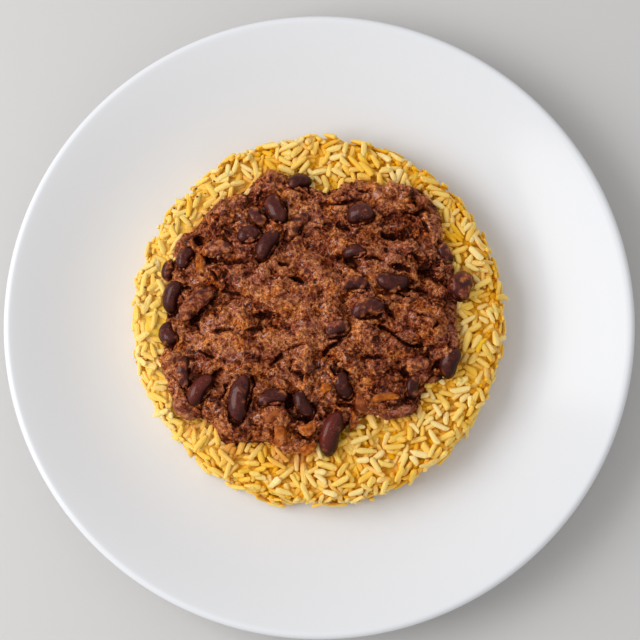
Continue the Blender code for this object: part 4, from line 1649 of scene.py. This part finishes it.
class GrainPile:
    """Grains laid on a skin that is unrolled flat, with a map of the heights they reach.

    Heights are shares of a grain's width: the middle and top from its underside, and the crest
    from its middle. Its ends are shares of its length apart.
    """

    MIDDLE = 0.40
    CREST = 0.45
    TOP = 0.87
    ENDS_APART = 0.65
    HIGH_END = 0.3
    LEAST_CELLS = 5
    HOLES_TRIED = 24

    def __init__(self, span: float, radius: float, cell: float, floor: float) -> None:
        """Starts an empty map.

        Args:
            span: The skin's length from top to foot.
            radius: The skin's radius round the dish.
            cell: The map's spacing.
            floor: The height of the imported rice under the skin.
        """
        self.cell = cell
        self.columns = int(FULL_TURN * radius / cell)
        self.level = np.full((int(span / cell) + 1, self.columns), floor)
        self.owner = np.full(self.level.shape, -1)
        self.laid: list[tuple[float, ...]] = []
        self.stations, self.offsets = self._grid(along=9, across=3, reach=0.92, side=0.65)
        self.ends = self.stations > 0.3, self.stations < -0.3
        self.fine, self.across = self._grid(along=29, across=9, reach=1.0, side=1.0)
        self.dome = np.sqrt(np.clip(1 - self.fine**4, 0, 1) * np.clip(1 - self.across**2, 0, 1))

    @staticmethod
    def _grid(along: int, across: int, reach: float, side: float) -> tuple[np.ndarray, np.ndarray]:
        """Points over a grain's outline, as shares of its half length and half width."""
        grid = np.meshgrid(np.linspace(-reach, reach, along), np.linspace(-side, side, across))
        return grid[0].ravel(), grid[1].ravel()

    def column(self, angle: np.ndarray | float) -> np.ndarray:
        """The map's column at an angle round the dish."""
        return np.floor(angle / FULL_TURN * self.columns).astype(int) % self.columns

    def cells(
        self, grain: Grain, ahead: np.ndarray, aside: np.ndarray
    ) -> tuple[np.ndarray, np.ndarray]:
        """The map's cells under points of a grain.

        Args:
            grain: The grain.
            ahead: The points' places along it, as shares of its half length.
            aside: Their places across it, as shares of its half width.

        Returns:
            Their rows and columns. A row past the skin's ends isn't brought back.
        """
        cos, sin = math.cos(grain.heading), math.sin(grain.heading)
        ahead, aside = ahead * grain.length / 2, aside * grain.width / 2
        down = grain.along + ahead * cos - aside * sin
        turned = grain.angle + (ahead * sin + aside * cos) / grain.radius
        return np.floor(down / self.cell).astype(int), self.column(turned)

    def rest(self, grain: Grain, landing: Landing) -> tuple[float, float]:
        """Finds where a grain comes to rest.

        Args:
            grain: The grain.
            landing: How it may come to rest.

        Returns:
            The height of its underside, and its slope.
        """
        row, column = self.cells(grain, self.stations, self.offsets)
        if row.min() < 0 or row.max() >= len(self.level) - 1:
            return 1.0, 0.0
        below = self.level[row, column]
        rise = below[self.ends[0]].mean() - below[self.ends[1]].mean()
        slope = rise / (self.ENDS_APART * grain.length) + landing.tipped
        slope = min(landing.steepest, max(-landing.steepest, slope))
        free = np.sort(below - slope * self.stations * grain.length / 2)
        return float(free[-1 - landing.sunk]), slope

    def drop(self, grain: Grain, landing: Landing) -> None:
        """Lays a grain on those below, unless it would stand above the ceiling.

        Args:
            grain: The grain.
            landing: How it may come to rest.
        """
        rest, slope = self.rest(grain, landing)
        top = rest + grain.width * self.TOP + abs(slope) * grain.length * self.HIGH_END
        if top > landing.ceiling:
            return
        row, column = self.cells(grain, self.fine, self.across)
        row = np.clip(row, 0, len(self.level) - 1)
        middle = rest + grain.width * self.MIDDLE
        height = middle + slope * self.fine * grain.length / 2
        height += grain.width * self.CREST * self.dome
        over = height > self.level[row, column]
        self.level[row[over], column[over]] = height[over]
        self.owner[row[over], column[over]] = len(self.laid)
        self.laid.append((*grain[:3], slope, middle, grain.length, grain.width))

    def lowest_hole(self, draw: np.random.Generator) -> tuple[float, float]:
        """Finds the deepest of some places drawn.

        Args:
            draw: The source of random draws.

        Returns:
            Its distance along the skin, and its angle.
        """
        tries = self.HOLES_TRIED
        row = draw.integers(3, len(self.level) - 3, tries)
        column = draw.integers(0, self.columns, tries)
        deepest = int(np.argmin(self.level[row, column] + 0.001 * draw.random(tries)))
        angle = (column[deepest] + 0.5) / self.columns * FULL_TURN
        return (row[deepest] + 0.5) * self.cell, angle

    def showing(self) -> np.ndarray:
        """Picks the grains that show.

        Returns:
            The grains, one row each.
        """
        shown = np.bincount(self.owner[self.owner >= 0].ravel(), minlength=len(self.laid))
        order = np.argsort(-shown, kind="stable")
        order = order[shown[order] >= self.LEAST_CELLS]
        LOG.info("%d grains laid, %d of them show", len(self.laid), len(order))
        return np.array(self.laid)[order]

    def buried(self, along: np.ndarray, angle: np.ndarray, height: np.ndarray) -> np.ndarray:
        """How deep points lie among their neighbours, from 0 at the top to 1, for the grains'
        painted shade.

        Args:
            along: Each grain's distance along the skin.
            angle: Each grain's angle.
            height: The heights of each grain's points, one row for each grain.

        Returns:
            The depth of each point.
        """
        near = self.smoothed(self.level, (-4, -2, 0, 2, 4))
        broad = self.smoothed(near, (-12, 0, 12))
        row = np.clip(along / self.cell, 0, len(near) - 1).astype(int)
        place = row, self.column(angle)
        beside = eased(near[place][:, None] - height, low=-0.0003, high=0.0022)
        about = eased(broad[place][:, None] - height, low=0.0006, high=0.0032)
        return np.maximum(beside, 0.9 * about)

    @staticmethod
    def smoothed(level: np.ndarray, steps: tuple[int, ...]) -> np.ndarray:
        """A map of heights averaged over those steps both ways."""
        return sum(np.roll(level, (i, j), (0, 1)) for i in steps for j in steps) / len(steps) ** 2


@dataclass(frozen=True)
class GrainForm:
    """A long grain with squarish sides and cut ends, each one a little different."""

    sides: int = 8
    bands: int = 5
    thickness: float = 0.74
    bluntest: float = 9.0
    bluntness: float = 2.6
    bend: float = 0.042
    bend_middle: float = 0.35
    taper: float = 0.13
    lumps: float = 0.08
    crowding: float = 0.6
    cut: float = 0.45

    def facing(self, ball: np.ndarray) -> np.ndarray:
        """The angle round the grain of each point, a quarter turn on its upper side."""
        return np.arctan2(ball[:, 1], ball[:, 0]) + math.pi / self.sides

    def shaped(
        self, draw: np.random.Generator, ball: np.ndarray, length: np.ndarray, width: np.ndarray
    ) -> tuple[np.ndarray, np.ndarray, np.ndarray]:
        """Shapes the grains about their own middles.

        Args:
            draw: The source of random draws.
            ball: A unit ball with its poles on the grain's ends.
            length: Each grain's length.
            width: Each grain's width.

        Returns:
            Each point's place aside, up and ahead, one row for each grain.
        """
        count, each = len(length), len(ball)
        length, width = length[:, None], width[:, None]
        station = np.sign(ball[:, 2]) * np.abs(ball[:, 2]) ** self.crowding
        cos, sin = np.cos(self.facing(ball)), np.sin(self.facing(ball))
        square = (cos**4 + sin**4) ** -0.25
        blunt = draw.uniform(self.bluntness, self.bluntest, count)[:, None]
        girth = np.sqrt(np.maximum(0.0, 1 - np.abs(station) ** blunt)) * square
        bend = draw.normal(0.0, self.bend, count)[:, None] * length
        taper = 1 + draw.normal(0.0, self.taper, count)[:, None] * station
        lumps = 1 + draw.normal(0.0, self.lumps, (count, each))
        cut = draw.normal(0.0, self.cut, (count, 2))
        aside = cos * girth * taper * lumps * width / 2
        up = sin * girth * taper * lumps * width / 2 * self.thickness
        ends = np.where(station > 0, cut[:, :1], cut[:, 1:])
        ahead = station * length / 2 + aside * station**4 * ends
        return aside + bend * (station**2 - self.bend_middle), up, ahead


@dataclass(frozen=True)
class RiceBed:
    """A moulded disc of rice: a plain core under grains laid one on another.

    The grains are laid on a plain skin, unrolled from the top over the shoulder and down the side.
    """

    form: HeapForm = HeapForm()
    grain: GrainForm = GrainForm()
    centre: tuple[float, float, float] = (-0.0006, 0.0018, 0.0)
    base: float = 0.0073
    level: float = 0.0236
    radius: float = 0.0779
    flare: float = 0.0008
    shoulder: float = 0.0036
    inner: float = 0.040
    packed: float = 0.0021
    sunk_core: float = 0.0014
    core_swell: float = 0.0012
    core_cover: float = 0.0002
    left_swell: float = 0.0002
    proud: float = 0.0016
    under: float = 0.0036
    merged: float = 0.0004
    length: float = 0.0085
    lengths: tuple[float, float] = (0.58, 1.18)
    width: float = 0.0025
    widths: tuple[float, float] = (0.78, 1.16)
    steepness: tuple[float, float] = (0.15, 0.60)
    tipping: float = 0.10
    lifted: float = 0.0009
    lifted_share: float = 0.05
    start: float = 0.002
    cell: float = 0.0004
    seeds: tuple[int, int, int] = (8, 5, 12)
    tries: int = 90000
    sunk: int = 14
    low_share: float = 0.3
    uneven: float = 0.0034
    uneven_radius: float = 0.07
    fillings: int = 2500
    filling_lengths: tuple[float, float] = (0.75, 0.95)
    filling_widths: tuple[float, float] = (0.88, 1.0)
    filling_turns: int = 6
    filling: Landing = Landing(steepest=0.9, sunk=12, ceiling=0.0019)
    loose: int = 700
    loose_proud: float = 0.0022
    loose_tipping: float = 0.30
    loose_lengths: tuple[float, float] = (0.75, 1.14)
    loose_widths: tuple[float, float] = (0.84, 1.04)
    steps: int = 240
    tone: float = 0.40
    tone_spread: float = 0.12
    # Painted light at the left and on the grains' crests.
    left_light: float = 0.14
    crest_light: float = 0.26
    stain_edge: float = 0.70

    def skin(self, along: np.ndarray) -> tuple[np.ndarray, np.ndarray, np.ndarray]:
        """The skin on which the grains are laid.

        Args:
            along: Distances from the inner edge of the open rice.

        Returns:
            The radius and height there, and the angle by which the skin has turned down.
        """
        flat = self.radius - self.shoulder - self.inner
        turn = np.clip((along - flat) / self.shoulder, 0.0, math.pi / 2)
        drop = np.maximum(0.0, along - flat - self.shoulder * math.pi / 2)
        radius = self.inner + np.minimum(along, flat) + self.shoulder * np.sin(turn)
        radius = radius + drop * self.flare / (self.level - self.base)
        return radius, self.level - self.shoulder * (1 - np.cos(turn)) - drop, turn

    def span(self) -> float:
        """The unrolled skin's whole length."""
        flat = self.radius - self.shoulder - self.inner
        return flat + self.shoulder * math.pi / 2 + self.level - self.shoulder - self.base

    def open_share(self, points: np.ndarray, start: float, end: float) -> np.ndarray:
        """How far points lie outside the heap's edge: 0 at start and 1 at end past it."""
        reach = np.hypot(points[:, 0], points[:, 1])
        return eased(reach - self.form.edge(np.arctan2(points[:, 1], points[:, 0])), start, end)

    @staticmethod
    def left_share(points: np.ndarray) -> np.ndarray:
        """How far points lie to the left, towards the light, where the grains sink in further and
        are painted paler with less painted shade: 0 to 1.
        """
        return eased(-points[:, 0], low=0.025, high=0.062)

    def is_open(self, along: np.ndarray, angle: np.ndarray) -> np.ndarray:
        """Tells which places on the skin lie past the heap's edge, or just under it.

        Args:
            along: The places' distances along the skin.
            angle: Their angles.

        Returns:
            True where there are grains.
        """
        radius = self.skin(along)[0]
        spot = np.stack([radius * np.cos(angle), radius * np.sin(angle)], axis=1)
        spot += np.array(self.centre[:2])
        return self.open_share(spot, start=-self.under - 1e-6, end=-self.under + 1e-6) > 0.5

    def build_core(self) -> None:
        """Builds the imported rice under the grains."""
        radius, height, turn = self.skin(np.linspace(0.0, self.span(), 60))
        sunk = self.sunk_core
        inside = [(reach, self.level - sunk) for reach in np.linspace(0.0, self.inner, 12)[:-1]]
        skin = zip(radius - sunk * np.sin(turn), height - sunk * np.cos(turn))
        lowest = self.radius + self.flare - sunk
        profile = inside + list(skin) + [(lowest, self.base), (0.0, self.base)]
        where = turned_points(profile, self.steps) + np.array(self.centre)
        top = where[:, 2] > self.level - sunk - 1e-6
        left = self.left_share(where)
        swell = self.core_swell * cloud_at(where, scale=130.0) + self.left_swell * left
        open_rice = self.open_share(where, start=-0.0055, end=-0.0030)
        covered = (sunk - self.core_cover) * (1 - open_rice)
        where[:, 2] += np.where(top, np.maximum(swell, covered), 0.0)
        faces = turned_faces(len(profile) - 2, self.steps)
        # Painted light: the core is paler towards the lit left.
        finish, stored = RiceInside().material(), {"tone": 0.9 * left}
        piece = make_piece("packed_rice", where, faces, finish, stored)
        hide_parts("rice")

    def lay_grains(self) -> GrainPile:
        """Drops grains on the unrolled skin, fills the holes that are left, and adds loose ones.

        Returns:
            The pile.
        """
        draw = np.random.default_rng(self.seeds[0])
        span, tries = self.span(), self.tries
        pile = GrainPile(span, self.radius, self.cell, -self.packed)
        along, angle = draw.uniform(self.start, span, tries), draw.uniform(0, FULL_TURN, tries)
        heading = draw.uniform(0, math.pi, tries)
        length = self.length * draw.uniform(*self.lengths, tries)
        width = self.width * draw.uniform(*self.widths, tries)
        steepest = draw.uniform(*self.steepness, tries)
        tipped = draw.normal(0.0, self.tipping, tries)
        lifted = self.lifted * (draw.random(tries) > 1 - self.lifted_share)
        radius = self.skin(along)[0]
        unrolled = np.stack([along, angle * self.uneven_radius, angle * 0], axis=1)
        ceiling = self.proud + lifted + self.uneven * cloud_at(unrolled, scale=95.0)
        ceiling[np.arange(tries) < self.low_share * tries] = self.width - self.packed
        chosen = (draw.random(tries) < radius / self.radius) & self.is_open(along, angle)
        for k in np.nonzero(chosen)[0]:
            grain = Grain(along[k], angle[k], heading[k], length[k], width[k], radius[k])
            pile.drop(grain, Landing(steepest[k], self.sunk, ceiling[k], tipped[k]))
        for _ in range(self.fillings):
            self.fill_hole(pile, draw)
        self.lay_loose(pile, draw)
        return pile

    def fill_hole(self, pile: GrainPile, draw: np.random.Generator) -> None:
        """Lays a grain in a deep hole, turned to lie as low as it can.

        Args:
            pile: The pile with the hole.
            draw: The source of random draws.
        """
        along, angle = pile.lowest_hole(draw)
        if not self.is_open(np.array([along]), np.array([angle]))[0]:
            return
        length = self.length * draw.uniform(*self.filling_lengths)
        width = self.width * draw.uniform(*self.filling_widths)
        radius = float(self.skin(np.array([along]))[0][0])
        first = draw.uniform(0, math.pi)
        turns = first + np.linspace(0, math.pi, self.filling_turns, endpoint=False)
        grains = [Grain(along, angle, turn, length, width, radius) for turn in turns]
        lowest = min(grains, key=lambda grain: pile.rest(grain, self.filling)[0])
        pile.drop(lowest, self.filling)

    def lay_loose(self, pile: GrainPile, draw: np.random.Generator) -> None:
        """Drops the last grains across the others, some of them tipped up.

        Args:
            pile: The pile that they fall on.
            draw: The source of random draws.
        """
        along = draw.uniform(self.start, self.span(), self.loose)
        angle = draw.uniform(0, FULL_TURN, self.loose)
        radius = self.skin(along)[0]
        heading = draw.uniform(0, math.pi, self.loose)
        tipped = draw.normal(0.0, self.loose_tipping, self.loose)
        ceiling = self.proud + self.loose_proud
        for k in np.nonzero(self.is_open(along, angle))[0]:
            length = self.length * draw.uniform(*self.loose_lengths)
            width = self.width * draw.uniform(*self.loose_widths)
            grain = Grain(along[k], angle[k], heading[k], length, width, radius[k])
            pile.drop(grain, Landing(steepest=0.9, sunk=5, ceiling=ceiling, tipped=tipped[k]))

    def frames(self, grains: np.ndarray) -> tuple[np.ndarray, ...]:
        """Rolls the skin back on to the dish and finds where each grain lies on it.

        Args:
            grains: The pile's grains, one row each.

        Returns:
            Each one's middle, and its ways ahead, aside and up.
        """
        along, angle, heading, slope, rise = grains.T[:5, :, None]
        radius, height, turn = self.skin(along)
        outward = np.concatenate([np.cos(angle), np.sin(angle), 0 * angle], axis=1)
        around = np.concatenate([-np.sin(angle), np.cos(angle), 0 * angle], axis=1)
        down = outward * np.cos(turn) - UP * np.sin(turn)
        normal = outward * np.sin(turn) + UP * np.cos(turn)
        spot = outward * radius + UP * height + normal * rise + np.array(self.centre)
        spot -= normal * (self.merged * self.left_share(spot))[:, None]
        ahead = down * np.cos(heading) + around * np.sin(heading) + normal * slope
        ahead /= np.linalg.norm(ahead, axis=1, keepdims=True)
        side = np.cross(normal, ahead)
        side /= np.linalg.norm(side, axis=1, keepdims=True)
        return spot, ahead, side, np.cross(ahead, side)

    def tones(
        self, draw: np.random.Generator, spot: np.ndarray, facing: np.ndarray
    ) -> np.ndarray:
        """How pale each point of each grain is: painted light on its crest and at the lit left, and
        paler in clumps.

        Args:
            draw: The source of random draws.
            spot: Each grain's middle.
            facing: The angle round the grain of each point.

        Returns:
            The tones, one row for each grain.
        """
        left = self.left_share(spot)
        clumps = 0.55 * cloud_at(spot, scale=100.0, offset=3.0)
        clumps += 0.45 * cloud_at(spot, scale=200.0, offset=8.0)
        tone = draw.normal(self.tone, self.tone_spread, len(spot))
        # Painted light: paler at the left, towards the light, and on each grain's upper facets.
        tone += self.left_light * left + (1 - 0.6 * left) * clumps
        crest = (self.crest_light - 0.18 * left)[:, None] * np.sin(facing)
        return np.clip(tone[:, None] + crest, 0.0, 1.0)

    def stained(self, where: np.ndarray) -> np.ndarray:
        """Finds how much sauce has run into the rice, near the heap and in spots.

        Args:
            where: The grains' points.

        Returns:
            The share of sauce, from 0 to 1.
        """
        near = 1 - self.open_share(where, start=-0.0005, end=0.0040)
        patches = cloud_at(where * np.array((1.0, 1.0, 0.3)), scale=95.0, offset=2.0)
        stain = self.stain_edge * near * eased(patches, low=-0.25, high=0.35)
        for spot in STAINS:
            stain = np.maximum(stain, spot.change * spot.share(where[:, 0], where[:, 1]))
        return stain * eased(cloud_at(where, scale=500.0, offset=4.0), low=-0.9, high=-0.1)

    def build_grains(self, pile: GrainPile) -> None:
        """Shapes every grain where it was laid, and stores its tone, its depth for painted shade,
        and its stain.

        Args:
            pile: The pile of grains.
        """
        grains = pile.showing()
        along, angle, _, slope, rise, length, width = grains.T
        spot, *ways = self.frames(grains)
        ball, faces = ball_net(self.grain.sides, self.grain.bands)
        draw = np.random.default_rng(self.seeds[1])
        aside, up, ahead = self.grain.shaped(draw, ball, length, width)
        where = spot[:, None] + sum(
            share[..., None] * way[:, None] for share, way in zip((ahead, aside, up), ways)
        )
        where = where.reshape(-1, 3)
        height = rise[:, None] + slope[:, None] * ahead + up
        # Painted shade: low and deep-lying points are stored as depth, with less of it at the lit
        # left.
        low = 0.85 * eased(-height, low=-0.0006, high=0.0014)
        depth = np.maximum(pile.buried(along, angle, height), low).ravel()
        stored = {
            "tone": self.tones(draw, spot, self.grain.facing(ball)).ravel(),
            "depth": depth * (1 - 0.9 * self.left_share(where)),
            "stain": self.stained(where),
        }
        faces = repeated(faces, len(spot), len(ball))
        finish = CookedRice().material()
        piece = make_piece("rice_grains", where, faces, finish, stored)
        piece.data.shade_flat()

    def build_specks(self, pile: GrainPile) -> None:
        """Lays the dark flecks of spice on the topmost grains.

        Args:
            pile: The pile of grains.
        """
        draw = np.random.default_rng(self.seeds[2])
        ball, faces = ball_net(around=8, along=6)
        bodies = []
        for x, y, size in SPECKS:
            right, back = x - self.centre[0], y - self.centre[1]
            row = int((math.hypot(right, back) - self.inner) / self.cell)
            column = pile.column(math.atan2(back, right) % FULL_TURN)
            top = self.skin(np.array([row * self.cell]))[1][0] + pile.level[row, column]
            knobs = cloud_at(ball * 1.4, 1.0, offset=draw.uniform(0, 50))
            shape = ball * (1 + 0.6 * knobs)[:, None]
            shape = shape * np.array((1.4, draw.uniform(0.8, 1.2), 0.6)) * size / 2
            spin = np.array(Matrix.Rotation(draw.uniform(0, math.pi), 3, "Z"))
            bodies.append(shape @ spin.T + np.array((x, y, top)))
        where, faces = np.concatenate(bodies), repeated(faces, len(bodies), len(ball))
        make_piece("spice_specks", where, faces, SpiceSpeck().material())

    def build(self) -> None:
        """Builds the core, the grains and the specks on them."""
        self.build_core()
        pile = self.lay_grains()
        self.build_grains(pile)
        self.build_specks(pile)


# ------------ the studio


@dataclass(frozen=True)
class Studio:
    """A pale floor, a large soft light from the left, and the camera over the near edge."""

    scale: float = 0.000427
    frame: int = 640
    distance: float = 1.05
    elevation: float = math.radians(80.7)
    target: tuple[float, float, float] = (0.0003, 0.0003, 0.025)
    key_way: tuple[float, float, float] = (-0.75, 0.02, 0.67)
    key_distance: float = 1.2
    key_width: float = 0.87
    key_height: float = 0.85
    key_power: float = 10.3
    fill: float = 0.585
    floor_reach: float = 1.5

    def build_camera(self) -> None:
        """Places the camera at the photograph's viewing angle."""
        lens = bpy.data.cameras.new("camera")
        lens.sensor_width = 36.0
        lens.lens = 18.0 * self.distance / (self.scale * self.frame / 2)
        camera = add_object("camera", lens)
        back = Vector((0.0, -math.cos(self.elevation), math.sin(self.elevation)))
        camera.location = Vector(self.target) + back * self.distance
        camera.rotation_euler = back.to_track_quat("Z", "Y").to_euler()
        bpy.context.scene.camera = camera

    def build_light(self) -> None:
        """Sets the soft key light and the even fill."""
        lamp = bpy.data.lights.new("key", "AREA")
        lamp.shape = "RECTANGLE"
        lamp.size = self.key_width
        lamp.size_y = self.key_height
        lamp.energy = self.key_power
        key = add_object("key", lamp)
        way = Vector(self.key_way).normalized()
        key.location = way * self.key_distance
        key.rotation_euler = way.to_track_quat("Z", "Y").to_euler()
        world = bpy.data.worlds.new("studio")
        world.use_nodes = True
        sky = world.node_tree.nodes["Background"]
        sky.inputs["Color"].default_value = (1.0, 1.0, 1.0, 1.0)
        sky.inputs["Strength"].default_value = self.fill
        bpy.context.scene.world = world

    def build_floor(self) -> None:
        """Lays the floor under the plate."""
        mesh = bpy.data.meshes.new("floor")
        sides = ((-1, -1), (1, -1), (1, 1), (-1, 1))
        corners = [(x * self.floor_reach, y * self.floor_reach, 0.0) for x, y in sides]
        mesh.from_pydata(corners, [], [(0, 1, 2, 3)])
        mesh.materials.append(PaleFloor().material())
        floor = add_object("floor", mesh)

    def build(self) -> None:
        """Builds the camera, the lights and the floor."""
        bpy.context.scene.view_settings.view_transform = "Standard"
        self.build_camera()
        self.build_light()
        self.build_floor()


def main() -> None:
    """Loads the solids and dresses them, piece by piece."""
    logging.basicConfig(level=logging.INFO, format="%(name)s %(message)s")
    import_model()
    CoupePlate().build()
    RiceBed().build()
    ChiliHeap().build()
    Toppings().build()
    Studio().build()
    bpy.context.view_layer.update()


if __name__ == "__main__":
    main()
